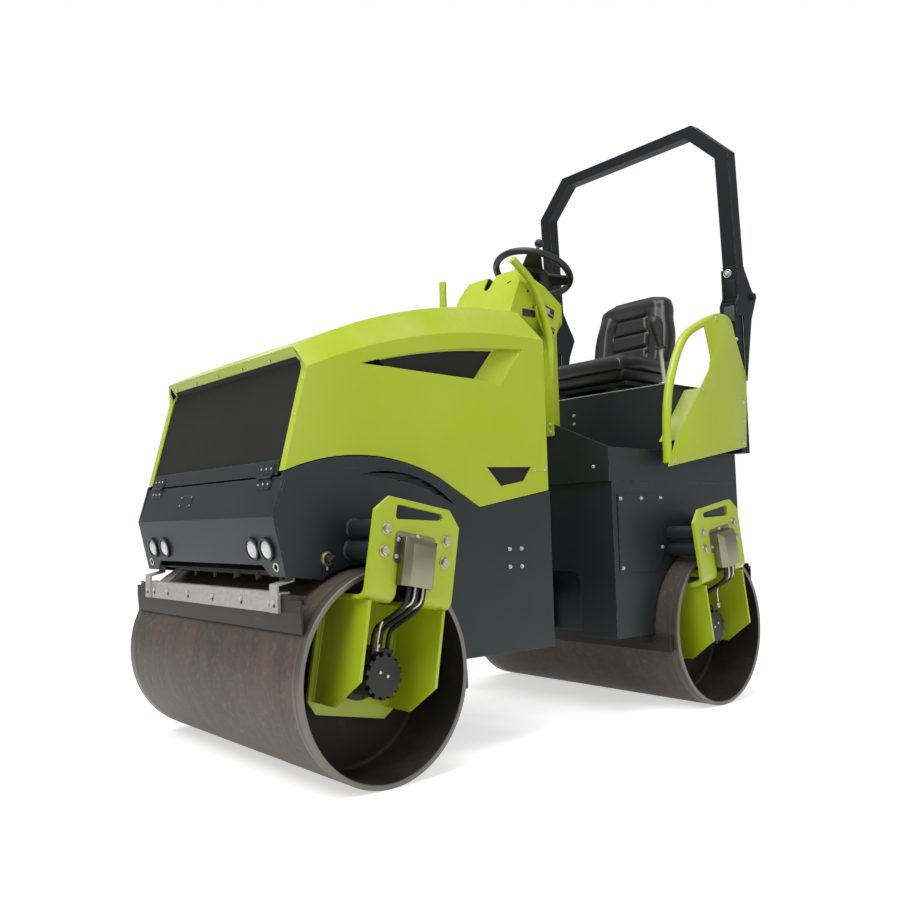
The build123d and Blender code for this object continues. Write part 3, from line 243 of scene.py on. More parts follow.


# The green's pale yellow-green upward film is painted top light: its upper faces drawn lighter, as the sky
# lights them.
green_enamel = finish("green_enamel", (0.345, 0.435, 0.004), 0.36, dust_and_top_light=0.42, coat=0.25, specular=0.35,
                      dust_and_top_light_colour=(0.66, 0.70, 0.50))
dark_enamel = finish("dark_enamel", (0.0105, 0.0165, 0.0185), 0.42, dust_and_top_light=0.07, specular=0.3)
black_enamel = finish("black_enamel", (0.0040, 0.0062, 0.0085), 0.48, dust_and_top_light=0.02, specular=0.22)
stainless = finish("stainless", (0.42, 0.39, 0.32), 0.30, dust_and_top_light=0.05, metallic=1.0, edges=0.0)
zinc = finish("zinc", (0.50, 0.50, 0.46), 0.42, dust_and_top_light=0.1, metallic=0.85, edges=0.0)
bolt_zinc = finish("bolt_zinc", (0.42, 0.39, 0.29), 0.34, dust_and_top_light=0.05, metallic=0.9, edges=0.0, rounding=0.001)
black_iron = finish("black_iron", (0.006, 0.006, 0.006), 0.5, dust_and_top_light=0.02, edges=0.05)
black_plastic = finish("black_plastic", (0.008, 0.008, 0.009), 0.42, dust_and_top_light=0.04, edges=0.0)


# Drums: a thick rolled shell and two deep end discs welded into it, with a bearing hub in each. Use
# has rolled the shell to brown steel with streaks round it, and polished a band along each edge.
MILLI = 0.001
PIVOT = Vector((0, steer["pos_m"][1], 0))
AXLE_Y, DRUM_R, DRUM_HALF, DRUM_WALL = 987, 350, 625, 18
DISC_X, HUB_R, HUB_FACE_X, BORE_R, BORE_X = 400, 90, 430, 35.8, 330
DRUM_STEPS = 160


def new_verts(made):
    """The vertices in what a bmesh operator returned."""
    return [item for item in made["geom"] if isinstance(item, bmesh.types.BMVert)]


def edges_of(verts):
    return list({edge for vert in verts for edge in vert.link_edges})


def lathe(mesh, placement, profile, steps):
    """A solid of revolution from (radius, height) points, turned about the placement's Z axis."""
    line = [mesh.verts.new(placement @ Vector((radius, 0, height))) for radius, height in profile]
    chain = [mesh.edges.new(pair) for pair in zip(line, line[1:])]
    bmesh.ops.spin(mesh, geom=line + chain, axis=placement.to_3x3() @ Vector((0, 0, 1)),
                   cent=placement.translation, angle=math.tau, steps=steps, use_merge=True)
    bmesh.ops.remove_doubles(mesh, verts=mesh.verts, dist=0.01)


def piece(name, mesh, materials, body, slot, both=False, rear=False, sharp=35, replaces=()):
    """A finished piece of a mesh laid out in millimetres from the steering pivot. Both adds its mirror
    image on the machine's other side, and rear turns it to the rear end."""
    if both:
        copy = bmesh.ops.duplicate(mesh, geom=mesh.verts[:] + mesh.edges[:] + mesh.faces[:])
        bmesh.ops.scale(mesh, vec=(-1, 1, 1), verts=new_verts(copy))
    if rear:
        bmesh.ops.scale(mesh, vec=(1, -1, 1), verts=mesh.verts)
    bmesh.ops.recalc_face_normals(mesh, faces=mesh.faces)
    bmesh.ops.transform(mesh, matrix=Matrix.Translation(PIVOT) @ Matrix.Scale(MILLI, 4), verts=mesh.verts)
    data = bpy.data.meshes.new(name)
    mesh.to_mesh(data)
    mesh.free()
    for material in materials if isinstance(materials, tuple) else (materials,):
        data.materials.append(material)
    data.shade_smooth()
    data.set_sharp_from_angle(angle=math.radians(sharp))
    made = bpy.data.objects.new(name, data)
    bpy.context.scene.collection.objects.link(made)
    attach(made, body)
    if replaces:
        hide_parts(*replaces)
    return made


def each_end(name, mesh, materials, slot, node=None, both=True, **options):
    """The same piece at the front and at the rear end; both mirrors it to the other side as well."""
    for end, rear in (("front", False), ("rear", True)):
        replaced = (f"{end}_{node}",) if node else ()
        piece(f"{end}_{name}", mesh.copy(), materials, f"{end}_frame", slot, both=both, rear=rear,
              replaces=replaced, **options)
    mesh.free()


def rolled_steel(tree):
    """Streaks round the drum, dark patches and a paler scrubbed zone."""
    place = object_place(tree)
    streaks = ramp(tree, noise(tree, place, 1.0, 6, 0.65, (26, 2.4, 2.4)), 0.25, 0.75)
    patches = ramp(tree, noise(tree, place, 3.4, 7, 0.68), 0.42, 0.62)
    pits = ramp(tree, noise(tree, place, 45, 5, 0.7), 0.5, 0.7)
    shade = mix_colour(tree, streaks, (0.058, 0.044, 0.034), (0.096, 0.070, 0.051))
    shade = mix_colour(tree, math_node(tree, "MULTIPLY", patches, 0.7), shade, (0.048, 0.038, 0.032))
    return mix_colour(tree, math_node(tree, "MULTIPLY", pits, 0.30), shade, (0.19, 0.155, 0.125))


def edge_steel(tree):
    streaks = ramp(tree, noise(tree, object_place(tree), 1.0, 5, 0.6, (60, 2.0, 2.0)), 0.35, 0.65)
    return mix_colour(tree, streaks, (0.072, 0.059, 0.048), (0.128, 0.105, 0.086))


def inner_steel(tree):
    rust = ramp(tree, noise(tree, object_place(tree), 7, 6, 0.65), 0.52, 0.72)
    share = math_node(tree, "MULTIPLY", rust, 0.5)
    return mix_colour(tree, share, (0.010, 0.009, 0.008), (0.050, 0.028, 0.018))


drum_shell = finish("drum_shell", (0.2, 0.15, 0.12), 0.55, dust_and_top_light=0.10, metallic=0.25, edges=0.0,
                    recolour=rolled_steel, bump_depth=0.0012)
drum_edge = finish("drum_edge", (0.2, 0.18, 0.16), 0.42, dust_and_top_light=0.05, metallic=0.5, edges=0.0,
                   recolour=edge_steel)
drum_rim = finish("drum_rim", (0.16, 0.145, 0.125), 0.42, dust_and_top_light=0.0, metallic=0.6, edges=0.0)
drum_inside = finish("drum_inside", (0.01, 0.009, 0.008), 0.62, dust_and_top_light=0.12, edges=0.0, specular=0.25,
                     recolour=inner_steel)
POLISHED_BAND = 42

inner = DRUM_R - DRUM_WALL
half_profile = [(DRUM_HALF - POLISHED_BAND, DRUM_R), (DRUM_HALF - 3, DRUM_R), (DRUM_HALF, DRUM_R - 3),
                (DRUM_HALF, inner + 3), (DRUM_HALF - 3, inner), (DISC_X + 9, inner), (DISC_X, inner - 9),
                (DISC_X, HUB_R + 6), (DISC_X + 6, HUB_R), (HUB_FACE_X - 3, HUB_R), (HUB_FACE_X, HUB_R - 3),
                (HUB_FACE_X, BORE_R), (BORE_X, BORE_R), (BORE_X, 0)]
for end, axle in (("front", -AXLE_Y), ("rear", AXLE_Y)):
    drum = bmesh.new()
    profile = [drum.verts.new((x, axle, DRUM_R + radius)) for x, radius in half_profile]
    profile = [drum.verts.new((-vert.co.x, axle, vert.co.z)) for vert in reversed(profile)] + profile
    chain = [drum.edges.new(pair) for pair in zip(profile, profile[1:])]
    bmesh.ops.spin(drum, geom=profile + chain, axis=(1, 0, 0), cent=(0, axle, DRUM_R), angle=math.tau,
                   steps=DRUM_STEPS, use_merge=True)
    bmesh.ops.remove_doubles(drum, verts=drum.verts, dist=0.01)
    for face in drum.faces:
        middle = face.calc_center_median()
        reach = math.hypot(middle.y - axle, middle.z - DRUM_R)
        if reach > DRUM_R - 1:
            face.material_index = 1 if abs(middle.x) > DRUM_HALF - POLISHED_BAND else 0
        else:
            face.material_index = 2 if abs(middle.x) > DRUM_HALF - 5 else 3
    piece(f"{end}_drum_shell", drum, (drum_shell, drum_edge, drum_rim, drum_inside), f"{end}_drum",
          "drum_steel", sharp=25, replaces=(f"{end}_drum",))


# Yokes: heavy plate brackets that carry each drum end, welded, painted green and bolted through
# spacer tubes to the frames with four large zinc bolts. The tubes are painted with the frame.
YOKE_TILT = math.radians(-10.3)
HEAD_FACE_X, HEAD_INNER_X = 680, 666
WINDOW_U, WINDOW_V, WINDOW_MIDDLE_V = (85, 115), (495, 555), 513
WINDOW_LIFT_ABOVE, WINDOW_LIFT_BELOW = 22, 26
YOKE_BOLTS = [(u, v) for u in (-130, 130) for v in (391, 463)]
YOKE_BOLT = 18
TUBE_START_X, TUBE_R = 509, 32
RIB_FACE_U, RIB_EDGE_U = 152, 164
SHELF_WELD_V, LEG_LOW_V = 231, -105
lean = Matrix.Translation((0, -AXLE_Y, DRUM_R)) @ Matrix.Rotation(YOKE_TILT, 4, "X")


def facing(place, direction):
    """A placement at a point whose Z axis looks along a direction."""
    return Matrix.Translation(place) @ Vector(direction).to_track_quat("Z", "Y").to_matrix().to_4x4()


def soften(mesh, edges, offset, segments=3, affect="EDGES"):
    """Rounds edges, or the corners of a flat outline."""
    bmesh.ops.bevel(mesh, geom=list(edges), offset=offset, segments=segments, profile=0.5, affect=affect,
                    material=-1)


def block(mesh, placement, size):
    """A box on a placement; returns its corners."""
    return bmesh.ops.create_cube(mesh, size=1, matrix=placement @ Matrix.Diagonal((*size, 1)))["verts"]


def disc(mesh, placement, radius, low, high, sides=24, bevel=0.0, segments=2, top=None):
    """A round plate or prism on a placement's Z axis, with its upper rim rounded by bevel."""
    middle = placement @ Matrix.Translation((0, 0, (low + high) / 2))
    made = bmesh.ops.create_cone(mesh, cap_ends=True, segments=sides, radius1=radius,
                                 radius2=radius if top is None else top, depth=high - low, matrix=middle)
    if bevel:
        back = placement.inverted()
        upper = {vert for vert in made["verts"] if (back @ vert.co).z > (low + high) / 2}
        rim = {edge for vert in upper for edge in vert.link_edges if edge.other_vert(vert) in upper}
        soften(mesh, rim, bevel, segments)


def bolt(mesh, place, direction, size, washer=True):
    """A hex head of a bolt of this thread size on its washer, seated at place."""
    placement = facing(place, direction)
    seat = 0.18 * size if washer else 0
    if washer:
        disc(mesh, placement, 1.06 * size, -0.3, seat, 28, bevel=0.07 * size)
    disc(mesh, placement, 0.90 * size, seat - 0.1, seat + 0.66 * size, 6, bevel=0.13 * size, segments=1)


def screw(mesh, place, direction, radius, height):
    """A domed screw head."""
    disc(mesh, facing(place, direction), radius, -0.3, height, 16, bevel=height * 0.75, segments=3)


def smoothed(node, material, angle=32, reshape=None):
    """Shows a CAD piece with its triangles joined, so that its bends look round."""
    mesh = bmesh.new()
    mesh.from_mesh(nodes[node].data)
    bmesh.ops.remove_doubles(mesh, verts=mesh.verts, dist=0.00003)
    bmesh.ops.dissolve_limit(mesh, angle_limit=math.radians(0.5), verts=mesh.verts, edges=mesh.edges)
    if reshape:
        reshape(mesh)
    data = bpy.data.meshes.new(f"{node}_skin")
    mesh.to_mesh(data)
    mesh.free()
    data.materials.append(material)
    data.shade_smooth()
    data.set_sharp_from_angle(angle=math.radians(angle))
    made = bpy.data.objects.new(f"{node}_skin", data)
    bpy.context.scene.collection.objects.link(made)
    weighted = made.modifiers.new("flat faces stay flat", "WEIGHTED_NORMAL")
    weighted.keep_sharp = True
    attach(made, body_of[node])
    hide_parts(node)
    return made


def weld(mesh, start, end, radius, step=5):
    """A weld bead between two points, with the small ripples that a torch leaves."""
    start, end = Vector(start), Vector(end)
    run = end - start
    count = max(4, round(run.length / step))
    placement = facing(start, run)
    bead = bmesh.ops.create_circle(mesh, segments=8, radius=radius, cap_ends=True, matrix=placement)["verts"]
    face = bead[0].link_faces[0]
    for index in range(count):
        made = bmesh.ops.extrude_face_region(mesh, geom=[face])
        fresh = new_verts(made)
        bmesh.ops.translate(mesh, vec=run / count, verts=fresh)
        middle = start + run * ((index + 1) / count)
        swell = 1.12 if index % 2 == 0 else 1 / 1.12
        bmesh.ops.scale(mesh, vec=(swell, swell, swell), space=Matrix.Translation(-middle), verts=fresh)
        old = face
        face = next(item for item in made["geom"] if isinstance(item, bmesh.types.BMFace))
        if old.is_valid and index:
            bmesh.ops.delete(mesh, geom=[old], context="FACES_ONLY")


def turn_window(mesh):
    """Gives the head's window its level upper edge and rising lower edge."""
    for vert in mesh.verts:
        place = (vert.co - PIVOT) / MILLI
        end = math.copysign(1, place.y)
        local = lean.inverted() @ Vector((place.x, -abs(place.y), place.z))
        in_corner = WINDOW_U[0] < local.y < WINDOW_U[1] and WINDOW_V[0] < local.z < WINDOW_V[1]
        if abs(local.x) > HEAD_INNER_X - 1 and in_corner:
            rise = WINDOW_LIFT_ABOVE if local.z > WINDOW_MIDDLE_V else WINDOW_LIFT_BELOW
            lift = lean.to_3x3() @ Vector((0, 0, rise))
            vert.co += MILLI * Vector((0, -end * lift.y, lift.z))


for node in ("front_yokes", "rear_yokes"):
    smoothed(node, green_enamel, reshape=turn_window)

tubes = bmesh.new()
for u, v in YOKE_BOLTS:
    root = lean @ facing((TUBE_START_X, u, v), (1, 0, 0))
    disc(tubes, root, TUBE_R, 0, HEAD_INNER_X - TUBE_START_X, 40)
    disc(tubes, root, TUBE_R + 5, 1, 7, 40, bevel=4, segments=3)
each_end("spacer_tubes", tubes, dark_enamel, "paint_dark", node="cross_tubes")

bolts = bmesh.new()
for u, v in YOKE_BOLTS:
    bolt(bolts, (HEAD_FACE_X, u, v), (1, 0, 0), YOKE_BOLT)
bmesh.ops.transform(bolts, matrix=lean, verts=bolts.verts)
each_end("yoke_bolts", bolts, bolt_zinc, "galvanized")

beads = bmesh.new()
for u in (-RIB_FACE_U, -RIB_EDGE_U, RIB_FACE_U, RIB_EDGE_U):
    weld(beads, (452, u, LEG_LOW_V), (452, u, SHELF_WELD_V - 3), 3.2)
    weld(beads, (455, u, SHELF_WELD_V), (662, u, SHELF_WELD_V), 3.0)
bmesh.ops.transform(beads, matrix=lean, verts=beads.verts)
each_end("yoke_welds", beads, green_enamel, "paint_green")


# Pipe covers: bent from brushed stainless sheet over the pipe joints on each yoke head, on a base
# plate with rounded corners that four screws hold.
COVER_MIDDLE, COVER_SIZE, COVER_BEVEL = Vector((0, -3, 369)), (48, 134, 154), 20
BASE_MIDDLE, BASE_SIZE, BASE_CORNER = Vector((0, -4, 412)), (3, 172, 104), 16
brushed = finish("brushed_cover", (0.22, 0.21, 0.145), 0.30, dust_and_top_light=0.06, metallic=1.0, edges=0.0, scuffs=0.3)
bases = bmesh.new()
block(bases, Matrix.Translation(BASE_MIDDLE + Vector((HEAD_FACE_X + BASE_SIZE[0] / 2, 0, 0))), BASE_SIZE)
corners = [edge for edge in bases.edges if abs(edge.verts[0].co.x - edge.verts[1].co.x) > 2]
soften(bases, corners, BASE_CORNER, 4)
bmesh.ops.transform(bases, matrix=lean, verts=bases.verts)
each_end("cover_bases", bases, brushed, "stainless")
covers = bmesh.new()
cover_back_x = HEAD_FACE_X + BASE_SIZE[0]
corners = block(covers, Matrix.Translation(COVER_MIDDLE + Vector((cover_back_x + COVER_SIZE[0] / 2, 0, 0))),
                COVER_SIZE)
front = {vert for vert in corners if vert.co.x > cover_back_x + 1}
folds = [edge for edge in covers.edges if front.issuperset(edge.verts)
         and max(vert.co.z for vert in edge.verts) > COVER_MIDDLE.z]
soften(covers, folds, COVER_BEVEL, 1)
rims = [edge for edge in covers.edges if min(vert.co.x for vert in edge.verts) > cover_back_x + 2]
soften(covers, rims, 1.2, 2)
bmesh.ops.transform(covers, matrix=lean, verts=covers.verts)
each_end("cover_boxes", covers, brushed, "stainless", node="pipe_covers")

cover_screws = bmesh.new()
for u, v in ((-79, 382), (74, 388), (0, 456), (-79, 436)):
    bolt(cover_screws, (cover_back_x, u, v), (1, 0, 0), 7)
bmesh.ops.transform(cover_screws, matrix=lean, verts=cover_screws.verts)
each_end("cover_screws", cover_screws, zinc, "galvanized")


# Drum motors and their hoses: cast cases with a toothed end cap, fed from the pipe cover by three
# black hoses. Two bright bent pipes leave the cover beside them, and one more drops to the case.
HOSE_R, HOSE_U = 8, (-32, 0, 32)
HOSE_ROUTE = [(706, 300), (706, 262), (698, 236), (672, 214), (632, 190), (590, 168), (564, 150), (556, 122),
              (556, 88.3)]
PIPE_R, PIPE_U = 4.5, (-14, 20)
CASE_PIPE = [(610, -44, 176), (604, -46, 164), (600, -46, 140), (598, -47, 92)]
MOTOR_CAP_X, MOTOR_FLANGE_X, MOTOR_BOLT_CIRCLE = 598, 468, 85
hose_rubber = finish("hose_rubber", (0.008, 0.008, 0.008), 0.55, dust_and_top_light=0.06, edges=0.0, specular=0.3)


def tube_mesh(routes, radius, sides=4):
    """Round tubes on smooth curves through their control points, in millimetres."""
    curve = bpy.data.curves.new("route", "CURVE")
    curve.dimensions = "3D"
    curve.bevel_depth = radius
    curve.bevel_resolution = sides
    curve.use_fill_caps = True
    curve.resolution_u = 10
    for route in routes:
        spline = curve.splines.new("NURBS")
        spline.points.add(len(route) - 1)
        for point, place in zip(spline.points, route):
            point.co = (*place, 1)
        spline.order_u = 3
        spline.use_endpoint_u = True
    holder = bpy.data.objects.new("route", curve)
    mesh = bmesh.new()
    mesh.from_mesh(bpy.data.meshes.new_from_object(holder))
    bmesh.ops.remove_doubles(mesh, verts=mesh.verts, dist=0.01)
    bpy.data.objects.remove(holder)
    bpy.data.curves.remove(curve)
    return mesh


hoses = tube_mesh([[(x, u, v) for x, v in HOSE_ROUTE] for u in HOSE_U], HOSE_R)
bmesh.ops.transform(hoses, matrix=lean, verts=hoses.verts)
each_end("hose_lines", hoses, hose_rubber, "hose_rubber", node="hoses")

pipes = tube_mesh([[(714, u, 298), (714, u, 274), (712, u, 252), (701, u - 4, 234), (684, u - 8, 226)]
                   for u in PIPE_U] + [CASE_PIPE], PIPE_R)
for place, size in (((598, -47, 96), 11), ((598, -47, 84), 8)):
    disc(pipes, facing(place, (0, 0, 1)), size, -6, 6, 6, bevel=1.5)
bmesh.ops.transform(pipes, matrix=lean, verts=pipes.verts)
each_end("bright_pipes", pipes, stainless, "galvanized")

for node in ("front_drum_motors", "rear_drum_motors"):
    smoothed(node, black_iron, 30)
motor_bolts = bmesh.new()
for step in range(8):
    turn = math.radians(45 * step + 22.5)
    place = Vector((MOTOR_FLANGE_X, MOTOR_BOLT_CIRCLE * math.cos(turn), MOTOR_BOLT_CIRCLE * math.sin(turn)))
    bolt(motor_bolts, lean @ place, (1, 0, 0), 8, washer=False)
each_end("motor_bolts", motor_bolts, black_iron, "machine_iron")
motor_plugs = bmesh.new()
for u, v in ((-20, 12), (12, 2)):
    bolt(motor_plugs, lean @ Vector((MOTOR_CAP_X, u, v)), (1, 0, 0), 7, washer=False)
each_end("motor_plugs", motor_plugs, zinc, "galvanized")


# Front chassis and steering joint: welded plate, painted dark. The hub turns on a greased pin, and
# the cylinder's hard chromed rod pushes the link's arm.
paint(dark_enamel, "front_chassis", "rear_chassis", "bumper", "hood_trim", "side_hatches", "platform",
      "seat_pedestal", "centre_link", "front_skirts")
paint(stainless, "steering_pin")
paint(black_iron, "engine_block")
smoothed("steering_cylinder_barrel", black_iron)
chrome = finish("chrome", (0.72, 0.72, 0.72), 0.1, dust_and_top_light=0.0, scuffs=0.0, metallic=1.0, edges=0.0)
smoothed("steering_cylinder_rod", chrome)


# Bumper: one folded plate across the nose, its fold rounded and its lower corners left as tabs with
# rimmed lashing eyes. The four lamps are pressed black bowls with bright reflectors and fluted glass;
# thin grey rods in the glass are painted shadow lines of its flutes.
FRONT_END, BUMPER_FOLD_Z = -1351, 871
BUMPER_LOW_Y, BUMPER_LOW_Z = -1304, 681
BUMPER_SLOPE = (FRONT_END - BUMPER_LOW_Y) / (BUMPER_FOLD_Z - BUMPER_LOW_Z)
EYE_X, EYE_Z, EYE_R = 465, 712, 14
LAMP_X, LAMP_Z, LENS_R, LENS_TOP = (-412, -308, 350, 438), 769, 33, 12.4
LENS_RIBS = ((-18, 24), (-7, 29), (7, 29), (18, 24))
bumper_out = Vector((0, -1, BUMPER_SLOPE)).normalized()


def on_bumper(x, z):
    """A placement on the lower bumper panel whose Z axis looks out of it."""
    return facing((x, BUMPER_LOW_Y + (z - BUMPER_LOW_Z) * BUMPER_SLOPE, z), bumper_out)


def ring(mesh, placement, radius, tube, steps=40, sides=10):
    """A round wire ring on a placement, made by turning a small circle about its Z axis."""
    circle = bmesh.ops.create_circle(mesh, segments=sides, radius=tube,
                                     matrix=placement @ Matrix.Translation((radius, 0, 0))
                                     @ Matrix.Rotation(math.pi / 2, 4, "X"))["verts"]
    axis = placement.to_3x3() @ Vector((0, 0, 1))
    bmesh.ops.spin(mesh, geom=circle + edges_of(circle), axis=axis, cent=placement.translation,
                   angle=math.tau, steps=steps, use_merge=True)
    bmesh.ops.remove_doubles(mesh, verts=mesh.verts, dist=0.01)


eyes = bmesh.new()
for x in (-EYE_X, EYE_X):
    ring(eyes, on_bumper(x, EYE_Z), EYE_R - 1, 3.0)
piece("eye_rims", eyes, zinc, "front_frame", "galvanized")

paint(black_plastic, "headlamps")
reflector = finish("reflector", (0.80, 0.80, 0.80), 0.12, dust_and_top_light=0.0, scuffs=0.0, metallic=1.0, edges=0.0)
lens_glass = finish("lens_glass", (0.86, 0.87, 0.88), 0.16, dust_and_top_light=0.03, scuffs=0.0, edges=0.0, coat=1.0,
                    specular=0.5)
glass_shader = lens_glass.node_tree.nodes["Principled BSDF"]
glass_shader.inputs["Transmission Weight"].default_value = 0.55
lamp_shadow = finish("lamp_shadow", (0.10, 0.10, 0.10), 0.3, dust_and_top_light=0.0, edges=0.0)
bowls, lenses, lens_rib_shadows, lamp_rims = bmesh.new(), bmesh.new(), bmesh.new(), bmesh.new()
for x in LAMP_X:
    place = on_bumper(x, LAMP_Z)
    disc(bowls, place, 14, -46, -8, 36, top=32)
    flattened = place @ Matrix.Translation((0, 0, 2)) @ Matrix.Diagonal((1, 1, 0.30, 1))
    dome = bmesh.ops.create_uvsphere(lenses, u_segments=36, v_segments=14, radius=LENS_R, matrix=flattened)
    for vert in dome["verts"]:
        local = place.inverted() @ vert.co
        lift = 0.9 * math.cos(local.x * 0.55) * math.cos(local.y * 0.55) if local.z > 3 else 0
        vert.co += bumper_out * lift
    # Thin grey rods across the lens in two directions: painted shadow lines where the flutes shade the
    # glass.
    for offset, half in LENS_RIBS:
        for turn in (0, math.pi / 2):
            across = place @ Matrix.Rotation(turn, 4, "Z")
            start = across @ Vector((offset, -half, 0))
            run = across @ Vector((offset, half, 0)) - start
            height = LENS_TOP - 4 - 0.011 * offset * offset
            disc(lens_rib_shadows, facing(start + bumper_out * height, run), 0.9, half * 0.3, half * 1.7, 6)
    ring(lamp_rims, place @ Matrix.Translation((0, 0, 3)), LENS_R + 2.5, 3.2)
piece("lamp_reflectors", bowls, reflector, "front_frame", "galvanized")
piece("lamp_glasses", lenses, lens_glass, "front_frame", "lamp_glass", replaces=("headlamp_lenses",))
piece("lamp_flute_shadows", lens_rib_shadows, lamp_shadow, "front_frame", "black_plastic")
piece("lamp_rims", lamp_rims, black_plastic, "front_frame", "black_plastic")


# Front skirts: flat side plates cut round the drum, each with a slatted crescent opening and four
# screws near the rear. A battery isolator sits in a round plate on the left one.
SKIRT_FACE_X = 510
paint(black_iron, "skirt_slats")
skirt_screws = bmesh.new()
for y, z in ((-282, 741), (-215, 741), (-282, 673), (-215, 673)):
    bolt(skirt_screws, (SKIRT_FACE_X, y, z), (1, 0, 0), 8)
piece("skirt_bolts", skirt_screws, zinc, "front_frame", "galvanized", both=True)

ISOLATOR_Y, ISOLATOR_Z = -1147, 733
olive_brass = finish("olive_brass", (0.20, 0.20, 0.09), 0.42, dust_and_top_light=0.1, metallic=0.7, edges=0.0)
switch = bmesh.new()
switch_place = facing((SKIRT_FACE_X, ISOLATOR_Y, ISOLATOR_Z), (1, 0, 0))
disc(switch, switch_place, 24, -0.3, 8, 40, bevel=2.5)
ring(switch, switch_place @ Matrix.Translation((0, 0, 8)), 18, 3)
piece("isolator_plate", switch, olive_brass, "front_frame", "galvanized", replaces=("isolator_switch",))
key = bmesh.new()
disc(key, switch_place, 13.5, 7, 22, 24, bevel=2)
handle_place = switch_place @ Matrix.Rotation(math.radians(35), 4, "Z") @ Matrix.Translation((0, 0, 27))
soften(key, edges_of(block(key, handle_place, (33, 9, 13))), 2.5)
screw(key, switch_place @ Vector((-17, 4, 8)), (1, 0, 0), 3, 2)
piece("isolator_key", key, black_plastic, "front_frame", "black_plastic")
stem = tube_mesh([[(SKIRT_FACE_X + 3, ISOLATOR_Y, ISOLATOR_Z - drop) for drop in (24, 36)]], 3)
piece("isolator_stem", stem, zinc, "front_frame", "galvanized")


# Hood: folded and welded sheet with bevelled shoulders, painted green, hinged on the bumper. Fine
# black mesh fills its front window and the two side intakes.
smoothed("hood", green_enamel, 20)


def mesh_weave(tree):
    """Fine crossing wires: a sine across and one up, on coordinates that suit front and side panels."""
    split = tree.nodes.new("ShaderNodeSeparateXYZ")
    tree.links.new(object_place(tree), split.inputs[0])
    across = math_node(tree, "ADD", split.outputs["X"], split.outputs["Y"])
    waves = [math_node(tree, "SINE", math_node(tree, "MULTIPLY", value, 1400.0))
             for value in (across, split.outputs["Z"])]
    wire = ramp(tree, math_node(tree, "MULTIPLY", *waves), -0.1, 0.6)
    cloud = noise(tree, split.inputs[0].links[0].from_socket, 5, 3)
    dark = mix_colour(tree, cloud, (0.003, 0.003, 0.003), (0.006, 0.006, 0.006))
    return mix_colour(tree, wire, dark, (0.024, 0.024, 0.023))


mesh_black = finish("mesh_black", (0.01, 0.01, 0.01), 0.65, dust_and_top_light=0.05, edges=0.0, specular=0.2,
                    recolour=mesh_weave)
paint(mesh_black, "hood_meshes")

HOOD_LOW = Vector((0, -1309, 1003))
HOOD_BACK = Vector((0, -1211 + 1309, 1360 - 1003)).normalized()
hood_out = Vector((0, -HOOD_BACK.z, HOOD_BACK.y))
BROW_Y, BROW_Z = -1224, 1409
FRAME_SCREW_X = 495
brow_out = Vector((0, -1, -0.55)).normalized()


def on_hood_front(x, height):
    """A point on the hood's leaning front face, height measured up the face."""
    return Vector((x, 0, 0)) + HOOD_LOW + HOOD_BACK * height


hood_screws = bmesh.new()
for x in (-420, -245, -70, 110, 300):
    screw(hood_screws, (x, BROW_Y, BROW_Z), brow_out, 5, 3)
for x in (-FRAME_SCREW_X, FRAME_SCREW_X):
    for height in (90, 205, 330):
        screw(hood_screws, on_hood_front(x, height), hood_out, 5, 3)
piece("hood_screws", hood_screws, zinc, "hood", "galvanized")

HINGE_X, LEAF_REACH, LEAF_T = 405, 24, 4.3
BUMPER_TOP = Vector((0, -1309, 999))
bumper_back = (BUMPER_TOP - Vector((0, FRONT_END, BUMPER_FOLD_Z))).normalized()
bumper_up_out = Vector((0, -bumper_back.z, bumper_back.y))
hinge_screws, bumper_screws = bmesh.new(), bmesh.new()
for side in (-1, 1):
    for x in (-30, 0, 30):
        across = side * HINGE_X + x
        screw(hinge_screws, on_hood_front(across, LEAF_REACH) + hood_out * LEAF_T, hood_out, 4, 2.4)
        lower = Vector((across, 0, 0)) + BUMPER_TOP - bumper_back * LEAF_REACH + bumper_up_out * LEAF_T
        screw(bumper_screws, lower, bumper_up_out, 4, 2.4)
piece("hinge_screws", hinge_screws, zinc, "hood", "galvanized")
piece("hinge_screws_below", bumper_screws, zinc, "front_frame", "galvanized")

LATCH_Z = 1050
latch_screws = bmesh.new()
for side in (-1, 1):
    for y in (-118, -60):
        screw(latch_screws, (side * SKIRT_FACE_X, y, LATCH_Z), (side, 0, 0), 6, 3)
piece("latch_screws", latch_screws, zinc, "hood", "galvanized")


# Bare plate: a small bracket of thin sheet between the hinges, painted with the bumper and held to
# its upper face by four rivets.
PLATE_X, PLATE_SIZE, PLATE_DOWN = -130, (96, 46, 1.6), 62
plate = bmesh.new()
plate_middle = Vector((PLATE_X, 0, 0)) + BUMPER_TOP - bumper_back * PLATE_DOWN
plate_place = facing(plate_middle + bumper_up_out * PLATE_SIZE[2] / 2, bumper_up_out)
block(plate, plate_place, PLATE_SIZE)
piece("bare_plate", plate, dark_enamel, "front_frame", "paint_dark")
rivets = bmesh.new()
for across in (-40, 40):
    for down in (-16, 16):
        screw(rivets, plate_place @ Vector((across, down, PLATE_SIZE[2] / 2)), bumper_up_out, 3, 1.6)
piece("plate_rivets", rivets, zinc, "front_frame", "galvanized")


# Rear body: side plates with a bolted hatch on each, the platform tub with its raised front and the
# seat pedestal, all welded sheet in dark enamel with zinc hex bolts.
HATCH_FACE_X, PEDESTAL_FRONT_Y, RISER_FRONT_Y = 524.3, 800, 344
DECK_WELD_Z, DECK_SIDE_X, DECK_REAR_Y = 1163.5, 519, 1368
hatch_bolts = bmesh.new()
for y, z in ((410, 938), (706, 943), (410, 639), (706, 722), (560, 941)):
    bolt(hatch_bolts, (HATCH_FACE_X, y, z), (1, 0, 0), 8)
piece("hatch_bolts", hatch_bolts, zinc, "rear_frame", "galvanized", both=True)

